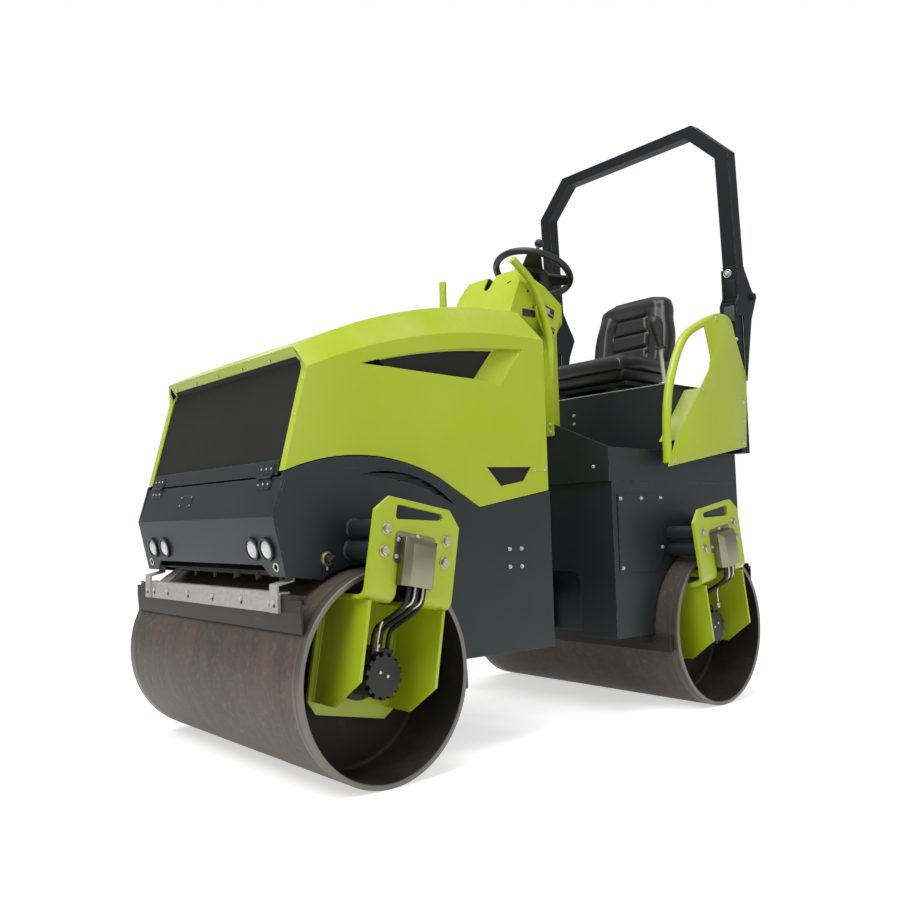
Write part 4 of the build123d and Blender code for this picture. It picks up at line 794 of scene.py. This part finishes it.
pedestal_bolts = bmesh.new()
for z in (1340, 1383):
    bolt(pedestal_bolts, (-10, PEDESTAL_FRONT_Y, z), (0, -1, 0), 8)
for x in (-440, -150, 150, 440):
    bolt(pedestal_bolts, (x, RISER_FRONT_Y, 1080), (0, -1, 0), 8)
piece("pedestal_bolts", pedestal_bolts, zinc, "rear_frame", "galvanized")

hook = tube_mesh([[(-172, 799, 1470), (-172, 792, 1478), (-172, 786, 1487), (-158, 784, 1496),
                   (-144, 786, 1487), (-144, 792, 1478), (-144, 799, 1470)]], 3)
piece("deck_hook", hook, zinc, "rear_frame", "galvanized")

seam = bmesh.new()
for x in (-DECK_SIDE_X, DECK_SIDE_X):
    weld(seam, (x, PEDESTAL_FRONT_Y + 1, DECK_WELD_Z), (x, DECK_REAR_Y, DECK_WELD_Z), 2.4, 8)
weld(seam, (4 - DECK_SIDE_X, PEDESTAL_FRONT_Y + 1, DECK_WELD_Z),
     (DECK_SIDE_X - 4, PEDESTAL_FRONT_Y + 1, DECK_WELD_Z), 2.4, 8)
piece("pedestal_weld", seam, dark_enamel, "rear_frame", "paint_dark")

deck_edge = bmesh.new()
block(deck_edge, Matrix.Translation((0, PEDESTAL_FRONT_Y - 0.8, 1474.5)), (1040, 1.6, 5))
piece("deck_trim", deck_edge, zinc, "rear_frame", "galvanized")

MAT_Y, MAT_Z, MAT_RIBS, MAT_RIB_STEP = 600, 1151.5, 23, 16
rubber_mat = finish("rubber_mat", (0.010, 0.010, 0.010), 0.75, dust_and_top_light=0.25, edges=0.0, specular=0.25)
mat = bmesh.new()
block(mat, Matrix.Translation((0, MAT_Y, MAT_Z)), (960, 380, 3))
for step in range(MAT_RIBS):
    rib_y = MAT_Y + MAT_RIB_STEP * (step - (MAT_RIBS - 1) / 2)
    block(mat, Matrix.Translation((0, rib_y, MAT_Z + 1.9)), (930, 6, 1.6))
piece("floor_mat", mat, rubber_mat, "rear_frame", "hose_rubber")


# Seat: a moulded pan on two slides, with a one-piece padded cushion and back in black vinyl. Both
# pads have thick rolled sides, and sewn channels cross their middles.
def vinyl_grain(tree):
    grain = ramp(tree, noise(tree, object_place(tree), 420, 3), 0.35, 0.7)
    share = math_node(tree, "MULTIPLY", grain, 0.4)
    return mix_colour(tree, share, (0.0075, 0.0075, 0.0085), (0.014, 0.014, 0.015))


seat_vinyl = finish("seat_vinyl", (0.01, 0.01, 0.011), 0.36, dust_and_top_light=0.03, scuffs=0.05, edges=0.0, specular=0.5,
                    rounding=None, bump_depth=0.0004, recolour=vinyl_grain)


def smooth_step(value, low, high):
    share = min(1.0, max(0.0, (value - low) / (high - low)))
    return share * share * (3 - 2 * share)


def channel(value, place, width):
    """The profile of a sewn channel, 1 in its middle."""
    return math.exp(-((value - place) / width) ** 2)


def padded_slab(half_width, length, height, rolls, steps=(56, 48)):
    """A pad as a fine grid over its top, raised by height(x, y), whose rim runs down in rolls."""
    pad = bmesh.new()
    bmesh.ops.create_grid(pad, x_segments=steps[0], y_segments=steps[1], size=1)
    rim = [edge for edge in pad.edges if edge.is_boundary]
    for vert in pad.verts:
        across, along = vert.co.x, (vert.co.y + 1) / 2
        vert.co.x = across * half_width(along)
        vert.co.y = along * length
        vert.co.z = height(vert.co.x, vert.co.y)
    for drop, spread in rolls:
        made = bmesh.ops.extrude_edge_only(pad, edges=rim)
        for vert in new_verts(made):
            outward = Vector((vert.co.x / half_width(vert.co.y / length), 2 * vert.co.y / length - 1, 0))
            vert.co += outward.normalized() * spread
            vert.co.z -= drop
        rim = [item for item in made["geom"] if isinstance(item, bmesh.types.BMEdge)]
    bmesh.ops.holes_fill(pad, edges=rim, sides=0)
    bmesh.ops.recalc_face_normals(pad, faces=pad.faces)
    return pad


CUSHION_Y, CUSHION_LENGTH, CUSHION_Z = 884, 408, 1668
CHANNEL_HALF, CHANNEL_Y = 118, (70, 152, 234, 316)


def cushion_height(x, y):
    """How far the cushion's top stands above its seam, y from its front edge."""
    roll = 22 * smooth_step(abs(x), 120, 175) * smooth_step(y, 20, 150)
    front = 16 * smooth_step(y, 110, 10) - 22 * smooth_step(y, 40, -4)
    dip = -10 * smooth_step(abs(x), 150, 60) * smooth_step(y, 60, 140)
    groove = max(channel(y, place, 6.5) for place in CHANNEL_Y) * (1 - smooth_step(abs(x), 112, 124))
    side = channel(abs(x), CHANNEL_HALF, 7) * smooth_step(y, 40, 70)
    edge = smooth_step(abs(x), 195, 230) * -14
    return roll + front + dip + edge - 14 * max(groove, side)


cushion = padded_slab(lambda along: 226 - 10 * (1 - along) ** 4, CUSHION_LENGTH, cushion_height,
                      ((7, 7), (12, 6), (16, 2), (18, -2), (14, -6)))
bmesh.ops.translate(cushion, vec=(0, CUSHION_Y, CUSHION_Z), verts=cushion.verts)
cushion = piece("seat_cushion_pad", cushion, seat_vinyl, "rear_frame", "seat_vinyl", sharp=80,
                replaces=("seat_cushion",))

PAN_Y, PAN_LOW_Z, PAN_SIZE = 1084, 1541, (478, 412, 64)
pan = bmesh.new()
block(pan, Matrix.Translation((0, PAN_Y, PAN_LOW_Z + PAN_SIZE[2] / 2)), PAN_SIZE)
soften(pan, pan.edges, 24, 4)
for vert in pan.verts:
    share = (vert.co.z - PAN_LOW_Z) / PAN_SIZE[2]
    vert.co.x *= 0.90 + 0.10 * share
    vert.co.y = PAN_Y + (vert.co.y - PAN_Y) * (0.93 + 0.07 * share)
piece("seat_pan", pan, black_plastic, "rear_frame", "black_plastic")
paint(black_enamel, "seat_frame")

BACK_Y, BACK_Z, BACK_HEIGHT, BACK_LEAN, BACK_CORNER = 1262, 1664, 392, math.radians(90 - 9.5), 62
RIB_HALF, RIB_EDGES = 112, (32, 116, 204, 292)


def back_half_width(along):
    high = along * BACK_HEIGHT
    corner = max(0.0, high - BACK_HEIGHT + BACK_CORNER) / BACK_CORNER
    swell = 12 * math.sin(math.pi * min(1.0, high / 270)) - 16 * smooth_step(high, 170, BACK_HEIGHT)
    return 210 + swell - BACK_CORNER * (1 - math.sqrt(max(0.0, 1 - 0.96 * corner ** 2)))


def back_height(x, z):
    """How far the back's face stands forward of its leaning plane."""
    pad_half = RIB_HALF - 14 * smooth_step(z, 190, 300)
    groove = max(channel(z, edge, 6.5) for edge in RIB_EDGES)
    groove *= 1 - smooth_step(abs(x), pad_half - 6, pad_half + 6)
    side = channel(abs(x), pad_half, 8) * (1 - smooth_step(z, 292, 312))
    within = (1 - smooth_step(abs(x), pad_half - 4, pad_half + 14)) * (1 - smooth_step(z, 286, 308))
    bolster = 26 * smooth_step(abs(x), pad_half, pad_half + 40) * (1 - 0.35 * smooth_step(z, 250, 350))
    top = 20 * smooth_step(z, 296, 338)
    limit = back_half_width(z / BACK_HEIGHT)
    edge = -22 * smooth_step(abs(x), limit - 42, limit) - 24 * smooth_step(z, 356, 392)
    return max(bolster, top) + 5 * within + edge - 17 * max(groove, side)


back = padded_slab(back_half_width, BACK_HEIGHT, back_height,
                   ((8, 8), (14, 7), (20, 3), (24, -2), (16, -8)))
stand = Matrix.Translation((0, BACK_Y, BACK_Z)) @ Matrix.Rotation(BACK_LEAN, 4, "X")
bmesh.ops.transform(back, matrix=stand, verts=back.verts)
back = piece("seat_back_pad", back, seat_vinyl, "rear_frame", "seat_vinyl", sharp=80,
             replaces=("seat_back",))

brackets = bmesh.new()
for x in (-190, 190):
    placement = Matrix.Translation((x, 1326, 1640)) @ Matrix.Rotation(math.radians(-12), 4, "X")
    block(brackets, placement, (8, 52, 190))
soften(brackets, brackets.edges, 3, 2)
piece("seat_brackets", brackets, black_enamel, "rear_frame", "paint_black")
slides = bmesh.new()
for x in (-170, 170):
    for z, width in ((1484, 48), (1502, 34)):
        block(slides, Matrix.Translation((x, 1095, z)), (width, 372, 10))
    for y in (935, 1255):
        bolt(slides, (x, y, 1507), (0, 0, 1), 8)
piece("seat_slides", slides, black_iron, "rear_frame", "machine_iron")


# Travel lever: a zinc rod that stands in a round flange on the deck's left, with a collar under its
# large moulded grip.
LEVER_X, LEVER_R = 500, 9
GRIP_PROFILE = [(0, 0), (15, 2), (17, 20), (22, 48), (30, 82), (34, 108), (31, 130), (20, 146), (8, 152),
                (0, 153)]
rod = tube_mesh([[(LEVER_X, 820, 1480), (LEVER_X, 809, 1565), (LEVER_X, 800, 1650)]], LEVER_R)
disc(rod, facing((LEVER_X, 817, 1477.5), (0, 0, 1)), 22, 0, 5, 24, bevel=1.5)
piece("lever_rod", rod, zinc, "rear_frame", "galvanized", replaces=("travel_lever",))
lever_up = Vector((0, -44, 145)).normalized()
grip = bmesh.new()
lever_place = facing((LEVER_X, 800, 1646), lever_up)
disc(grip, lever_place, 27, -4, 6, 32, bevel=3)
lathe(grip, lever_place, GRIP_PROFILE, 32)
piece("lever_grip", grip, black_plastic, "rear_frame", "black_plastic", sharp=60)


# Console: folded green sheet. Its left side carries the gauge box, with a small display, a row of
# warning lamps and a switch, and a dark socket panel with two screws above it.
paint(green_enamel, "console")
HEAD_X, GAUGE_X = 195, 206
screen_dark = finish("screen_dark", (0.006, 0.006, 0.007), 0.18, dust_and_top_light=0.03, scuffs=0.0, edges=0.0,
                     specular=0.6)
console_screws = bmesh.new()
for y, z in ((239, 1901), (273, 1832)):
    screw(console_screws, (HEAD_X, y, z), (1, 0, 0), 6, 3)
for y, z in ((212, 1800), (268, 1800)):
    screw(console_screws, (HEAD_X + 6, y, z), (1, 0, 0), 3.5, 2)
piece("console_screws", console_screws, black_iron, "rear_frame", "machine_iron")


def soft_box(mesh, centre, size, radius, turn=0.0, segments=3):
    """A box with rounded edges, turned about X."""
    corners = block(mesh, Matrix.Translation(centre) @ Matrix.Rotation(turn, 4, "X"), size)
    soften(mesh, edges_of(corners), radius, segments)


GAUGE_TURN = math.radians(-15.5)
panels = bmesh.new()
soft_box(panels, (HEAD_X + 2, 240, 1799), (6, 84, 34), 2)
soft_box(panels, (GAUGE_X + 1, 361, 1822), (5, 86, 44), 3, GAUGE_TURN)
soft_box(panels, (GAUGE_X + 1, 372, 1738), (5, 62, 26), 3, GAUGE_TURN)
piece("console_panels", panels, screen_dark, "rear_frame", "black_plastic")
display = bmesh.new()
soft_box(display, (GAUGE_X + 3.6, 350, 1826), (1.2, 46, 22), 0.4, GAUGE_TURN, 1)
for step in range(4):
    lamp_place = facing((GAUGE_X + 3, 392 - 9 * step, 1803 + 2.6 * step), (1, 0, 0))
    disc(display, lamp_place, 3, 0, 1.6, 12, bevel=0.6)
    button_place = facing((GAUGE_X + 3, 352 + 13 * step, 1744 - 3.6 * step), (1, 0, 0))
    disc(display, button_place, 4, 0, 4, 12, bevel=1)
piece("gauge_faces", display, zinc, "rear_frame", "galvanized")


# Steering wheel and column: a moulded black rim with a wide pad on three broad spokes, a spinner
# knob, and a column jacket with a bright clamp.
WHEEL_Y, WHEEL_Z, WHEEL_TILT = 508, 2076, math.radians(-24)
RIM_R, RIM_TUBE, PAD_R, SPOKE_MIDDLE = 184, 16.5, 96, 130
KNOB_PROFILE = [(0, 34), (12, 34), (20, 40), (23, 50), (20, 60), (12, 66), (0, 68)]
tilt = Matrix.Translation((0, WHEEL_Y, WHEEL_Z)) @ Matrix.Rotation(WHEEL_TILT, 4, "X")
wheel = bmesh.new()
ring(wheel, tilt, RIM_R, RIM_TUBE, 72, 18)
disc(wheel, tilt, PAD_R, -44, -12, 56, bevel=10, segments=4)
disc(wheel, tilt, 44, -14, -7, 40, bevel=4, segments=3)
disc(wheel, tilt, 42, -62, -42, 40, bevel=2)
for angle in (-48, 38, 175):
    arm = tilt @ Matrix.Rotation(math.radians(angle), 4, "Z")
    spoke = block(wheel, arm @ Matrix.Translation((SPOKE_MIDDLE, 0, -18)), (112, 84, 15))
    back = arm.inverted()
    for vert in spoke:
        local = back @ vert.co
        outer = local.x > SPOKE_MIDDLE
        local.z += 12 if outer else -10
        local.y *= 0.72 if outer else 1.3
        vert.co = arm @ local
    soften(wheel, edges_of(spoke), 6)
knob_place = tilt @ Matrix.Rotation(math.radians(-45), 4, "Z") @ Matrix.Translation((RIM_R, 0, 0))
disc(wheel, knob_place, 8, 10, 40, 20)
lathe(wheel, knob_place, KNOB_PROFILE, 24)
piece("wheel_moulding", wheel, black_plastic, "steering_wheel", "black_plastic", sharp=50,
      replaces=("steering_wheel",))

column = bmesh.new()
paint(black_enamel, "steering_column")
ring(column, tilt @ Matrix.Translation((0, 0, -92)), 34, 3)
disc(column, tilt, 27, -90, -66, 32, bevel=3)
piece("column_clamp", column, zinc, "rear_frame", "galvanized")


# Grab rails: bent tube beside the console, each foot flattened and welded to a flat strip that is
# bolted to the riser plate, with a short bracket to the console. The right one stands up straight.
RAIL_X, RAIL_R = 225, 17
RAIL_FOOT = [(351, 1600), (338, 1500)]
LEFT_RAIL = [(107, 2021), (187, 1974), (253, 1918), (290, 1850), (325, 1765), (350, 1680)]
RIGHT_RAIL = [(107, 2021), (107, 1935), (107, 1850), (150, 1790), (290, 1730), (345, 1670)]
STRIP_X, STRIP_Y, STRIP_T, BRACKET_X, BRACKET_Z = (196, 238), 341, 6, 160.3, 1620
FLAT_LOW_Z, FLAT_HEIGHT = 1500, 110
rails = tube_mesh([[(RAIL_X, y, z) for y, z in LEFT_RAIL + RAIL_FOOT],
                   [(-RAIL_X, y, z) for y, z in RIGHT_RAIL + RAIL_FOOT]], RAIL_R, 5)
for vert in rails.verts:
    share = min(1.0, max(0.0, (vert.co.z - FLAT_LOW_Z) / FLAT_HEIGHT))
    vert.co.y = STRIP_Y + (vert.co.y - STRIP_Y) * (0.2 + 0.8 * share)


def folded_strip(mesh, points, thickness, low_x, high_x):
    """A flat bar bent along (Y, Z) points, made by pushing one cross-section line along X."""
    line = [mesh.verts.new((low_x, y, z)) for y, z in points]
    edges = [mesh.edges.new(pair) for pair in zip(line, line[1:])]
    made = bmesh.ops.extrude_edge_only(mesh, edges=edges)
    bmesh.ops.translate(mesh, vec=(high_x - low_x, 0, 0), verts=new_verts(made))
    faces = [item for item in made["geom"] if isinstance(item, bmesh.types.BMFace)]
    bmesh.ops.recalc_face_normals(mesh, faces=faces)
    bmesh.ops.solidify(mesh, geom=faces, thickness=thickness)


for side in (-1, 1):
    low, high = sorted(side * x for x in STRIP_X)
    folded_strip(rails, [(STRIP_Y, z) for z in (1602, 1600, 1560, 1300, 1235)], STRIP_T, low, high)
    low, high = sorted((side * BRACKET_X, side * RAIL_X))
    soft_box(rails, ((low + high) / 2, 348, BRACKET_Z), (high - low, 6, 40), 1.5)
piece("rail_tubes", rails, green_enamel, "rear_frame", "paint_green", sharp=40, replaces=("grab_rails",))
rail_bolts = bmesh.new()
for side in (-1, 1):
    for z in (1252, 1285):
        bolt(rail_bolts, (side * 217, 336, z), (0, -1, 0), 8)
    bolt(rail_bolts, (side * 180, 345, BRACKET_Z), (0, -1, 0), 8)
piece("rail_bolts", rail_bolts, zinc, "rear_frame", "galvanized")


# Side guards: a flat plate with folded and rounded edges bolted to the roll bar's posts, and a bent
# tube welded to its outside that closes the hand loop.
GUARD_X, GUARD_T, GUARD_TUBE_R = 600.3, 5, 19
GUARD_EDGE = [(723, 1200), (946, 1455)]
GUARD_OUTLINE = [(657, 1078), *GUARD_EDGE, (1027, 1548), (1048, 1608), (1003, 1765), (1099, 1826),
                 (1187, 1839), (1251, 1816), (1277, 1735), (1366, 1544), (1331, 1193)]
GUARD_ROUNDED = {(1187, 1839): 34, (1251, 1816): 34, (1099, 1826): 28, (1048, 1608): 16, (1003, 1765): 10}
GUARD_LOOP = [(1160, 1822), (1080, 1800), (980, 1757), (905, 1722), (855, 1685), (815, 1640), (775, 1575),
              (725, 1470), (705, 1400), (690, 1320), (683, 1200), (680, 1096)]
GUARD_TUBE_X = GUARD_X + GUARD_T - GUARD_TUBE_R
guard = tube_mesh([[(GUARD_TUBE_X, y, z) for y, z in GUARD_LOOP]], GUARD_TUBE_R + 0.4, 6)
guard_plate = bmesh.new()
corners = [guard_plate.verts.new((GUARD_X, y, z)) for y, z in GUARD_OUTLINE]
guard_plate.faces.new(corners)
for vert in corners:
    radius = GUARD_ROUNDED.get((round(vert.co.y), round(vert.co.z)))
    if radius:
        soften(guard_plate, [vert], radius, 6, "VERTICES")
made = bmesh.ops.extrude_face_region(guard_plate, geom=guard_plate.faces[:])
bmesh.ops.translate(guard_plate, vec=(GUARD_T, 0, 0), verts=new_verts(made))
rims = [edge for edge in guard_plate.edges if abs(edge.verts[0].co.x - edge.verts[1].co.x) < 0.1]
soften(guard_plate, rims, 1.2, 2)
folded_strip(guard_plate, GUARD_EDGE, GUARD_T, 520.3, 600)
piece("guard_plates", guard_plate, green_enamel, "rear_frame", "paint_green", both=True,
      replaces=("side_guards",))
piece("guard_tubes", guard, green_enamel, "rear_frame", "paint_green", both=True)
guard_bolts = bmesh.new()
for y, z in ((1110, 1805), (1284, 1724), (966, 1448), (1327, 1417), (1317, 1320), (1307, 1218),
             (705, 1101)):
    bolt(guard_bolts, (GUARD_X + GUARD_T, y, z), (1, 0, 0), 9)
piece("guard_bolts", guard_bolts, zinc, "rear_frame", "galvanized", both=True)


# Roll bar: two box-section posts with cheek plates for the fold pins, and the welded arch that folds
# back over them. Each foot of the arch has a lock pin and a latch plate, and each post a reflector.
paint(black_enamel, "roll_bar_arch", "roll_bar_posts")
FOOT_FRONT_Y, POST_FRONT_Y, LOCK_X, LOCK_Z = 1330, 1297, 553, 2073
lock_pins = bmesh.new()
bolt(lock_pins, (LOCK_X, FOOT_FRONT_Y, LOCK_Z), (0, -1, 0), 13)
piece("lock_pins", lock_pins, zinc, "roll_bar", "galvanized", both=True)
lock_rings = bmesh.new()
ring(lock_rings, facing((LOCK_X, FOOT_FRONT_Y - 1, LOCK_Z), (0, -1, 0)), 19, 2.5)
piece("lock_pin_rings", lock_rings, zinc, "roll_bar", "galvanized", both=True)
latch = bmesh.new()
soft_box(latch, (563, FOOT_FRONT_Y - 1.4, 1992), (50, 3, 88), 1)
piece("latch_plates", latch, black_enamel, "roll_bar", "paint_black", both=True)
reflector_grey = finish("reflector_grey", (0.045, 0.060, 0.050), 0.25, dust_and_top_light=0.05, edges=0.0, specular=0.5)
patch = bmesh.new()
soft_box(patch, (570, POST_FRONT_Y - 1.2, 1858), (54, 2.4, 78), 1)
piece("post_reflectors", patch, reflector_grey, "rear_frame", "paint_black", both=True)
arch_welds = bmesh.new()
for y in (FOOT_FRONT_Y, FOOT_FRONT_Y + 70):
    weld(arch_welds, (602, y + 1, 2104), (528, y + 1, 2104), 3.0)
piece("arch_foot_welds", arch_welds, black_enamel, "roll_bar", "paint_black", both=True)


# Scrapers: a galvanized folded beam with bent end straps under the bumper, bolted through slots, and
# a dark spring-steel blade with turned-in ears. A second blade faces the steering joint.
BEAM_FACE_Y, BEAM_HALF, STRAP_T, SLOT_Z = -1321, 447, 6, 599
blade_steel = finish("blade_steel", (0.024, 0.021, 0.019), 0.5, dust_and_top_light=0.12, metallic=0.3, edges=0.1,
                     specular=0.35)


def zinc_spangle(tree):
    """The pale flowers of hot-dip zinc."""
    cells = tree.nodes.new("ShaderNodeTexVoronoi")
    cells.inputs["Scale"].default_value = 120
    tree.links.new(object_place(tree), cells.inputs["Vector"])
    split = tree.nodes.new("ShaderNodeSeparateXYZ")
    tree.links.new(cells.outputs["Color"], split.inputs[0])
    return mix_colour(tree, split.outputs["X"], (0.30, 0.295, 0.265), (0.36, 0.355, 0.325))


galvanized = finish("galvanized", (0.4, 0.4, 0.38), 0.5, dust_and_top_light=0.10, metallic=0.2, edges=0.2,
                    recolour=zinc_spangle)
paint(blade_steel, "front_scrapers", "rear_scrapers")
for end in ("front", "rear"):
    smoothed(f"{end}_scraper_beam", galvanized, 30)
    paint(black_plastic, f"{end}_spray_bar")
slots = bmesh.new()
slot_bolts = bmesh.new()
for x in (-470, -420, -300, -130, 60, 260, 440, 474):
    face_y = BEAM_FACE_Y if abs(x) < BEAM_HALF else BEAM_FACE_Y - STRAP_T
    soft_box(slots, (x, face_y, SLOT_Z), (11, 2.5, 26), 1)
    bolt(slot_bolts, (x, face_y - 1, SLOT_Z + 5), (0, -1, 0), 7.5)
each_end("beam_slots", slots, black_iron, "galvanized", both=False)
each_end("beam_bolts", slot_bolts, zinc, "galvanized", both=False)
beam_top = tube_mesh([[(x, BEAM_FACE_Y + 5, 630.5) for x in (1 - BEAM_HALF, 0, BEAM_HALF - 1)]], 4.8)
each_end("beam_edge", beam_top, galvanized, "galvanized", both=False)

CAP_Y, CAP_Z = -1248, 690
# Two nozzle caps under the bumper: red plastic, its colour darkened to a dark red as painted shade for the
# shadow under the bumper.
red_caps_in_painted_shade = finish("red_caps_in_painted_shade", (0.07, 0.006, 0.006), 0.5, dust_and_top_light=0.1, edges=0.0)
caps = bmesh.new()
for x in (130, 270):
    disc(caps, facing((x, CAP_Y, CAP_Z), (0, -0.4, -1)), 11, 8, 24, 16, bevel=3)
    ring(caps, facing((x, CAP_Y, CAP_Z), (1, 0, 0)), 11.5, 4.5, 24, 10)
each_end("nozzle_caps", caps, red_caps_in_painted_shade, "black_plastic", both=False)


# Studio: a plain pale floor under a pale sky, with a soft lamp high on the camera's left, a broad one
# overhead and a weak one opposite. The camera sees the sky itself as plain white.
FLOOR_SIZE = 24
SKY_LIGHT, FLOOR_GLOW = 0.54, 0.56
LAMPS = (("key", (1.5, -5.5, 5.5), 3.0, 205), ("overhead", (0.5, -1.6, 7.0), 5.0, 360),
         ("fill", (6.0, 1.0, 3.0), 3.0, 50))
floor_mesh = bmesh.new()
bmesh.ops.create_grid(floor_mesh, x_segments=1, y_segments=1, size=FLOOR_SIZE)
floor_data = bpy.data.meshes.new("studio_floor")
floor_mesh.to_mesh(floor_data)
floor_mesh.free()
floor = bpy.data.objects.new("studio_floor", floor_data)
bpy.context.scene.collection.objects.link(floor)


def seen_directly(tree):
    """1 for rays that reach the eye straight, by gloss or through glass."""
    path = tree.nodes.new("ShaderNodeLightPath")
    seen = math_node(tree, "MAXIMUM", path.outputs["Is Camera Ray"], path.outputs["Is Transmission Ray"])
    return math_node(tree, "MAXIMUM", seen, path.outputs["Is Glossy Ray"])


floor_material = bpy.data.materials.new("studio_floor")
floor_material.use_nodes = True
floor_tree = floor_material.node_tree
floor_shader = floor_tree.nodes["Principled BSDF"]
floor_shader.inputs["Base Color"].default_value = (0.84, 0.84, 0.84, 1)
floor_shader.inputs["Roughness"].default_value = 0.9
floor_shader.inputs["Specular IOR Level"].default_value = 0.1
floor_shader.inputs["Emission Color"].default_value = (1, 1, 1, 1)
floor_tree.links.new(math_node(floor_tree, "MULTIPLY", seen_directly(floor_tree), FLOOR_GLOW),
                     floor_shader.inputs["Emission Strength"])
floor_data.materials.append(floor_material)

world = bpy.data.worlds.new("studio")
world.use_nodes = True
bpy.context.scene.world = world
sky = world.node_tree.nodes["Background"]
sky.inputs["Color"].default_value = (1, 1, 1, 1)
direct = world.node_tree.nodes.new("ShaderNodeLightPath").outputs["Is Camera Ray"]
extra = math_node(world.node_tree, "MULTIPLY", direct, 1 - SKY_LIGHT)
lift = math_node(world.node_tree, "ADD", extra, SKY_LIGHT)
world.node_tree.links.new(lift, sky.inputs["Strength"])

for label, place, size, power in LAMPS:
    lamp_data = bpy.data.lights.new(label, "AREA")
    lamp_data.size = size
    lamp_data.energy = power
    lamp = bpy.data.objects.new(label, lamp_data)
    lamp.location = place
    lamp.rotation_euler = (Vector((0, 0, 1.0)) - lamp.location).to_track_quat("-Z", "Y").to_euler()
    bpy.context.scene.collection.objects.link(lamp)

bpy.context.scene.view_settings.view_transform = "Standard"
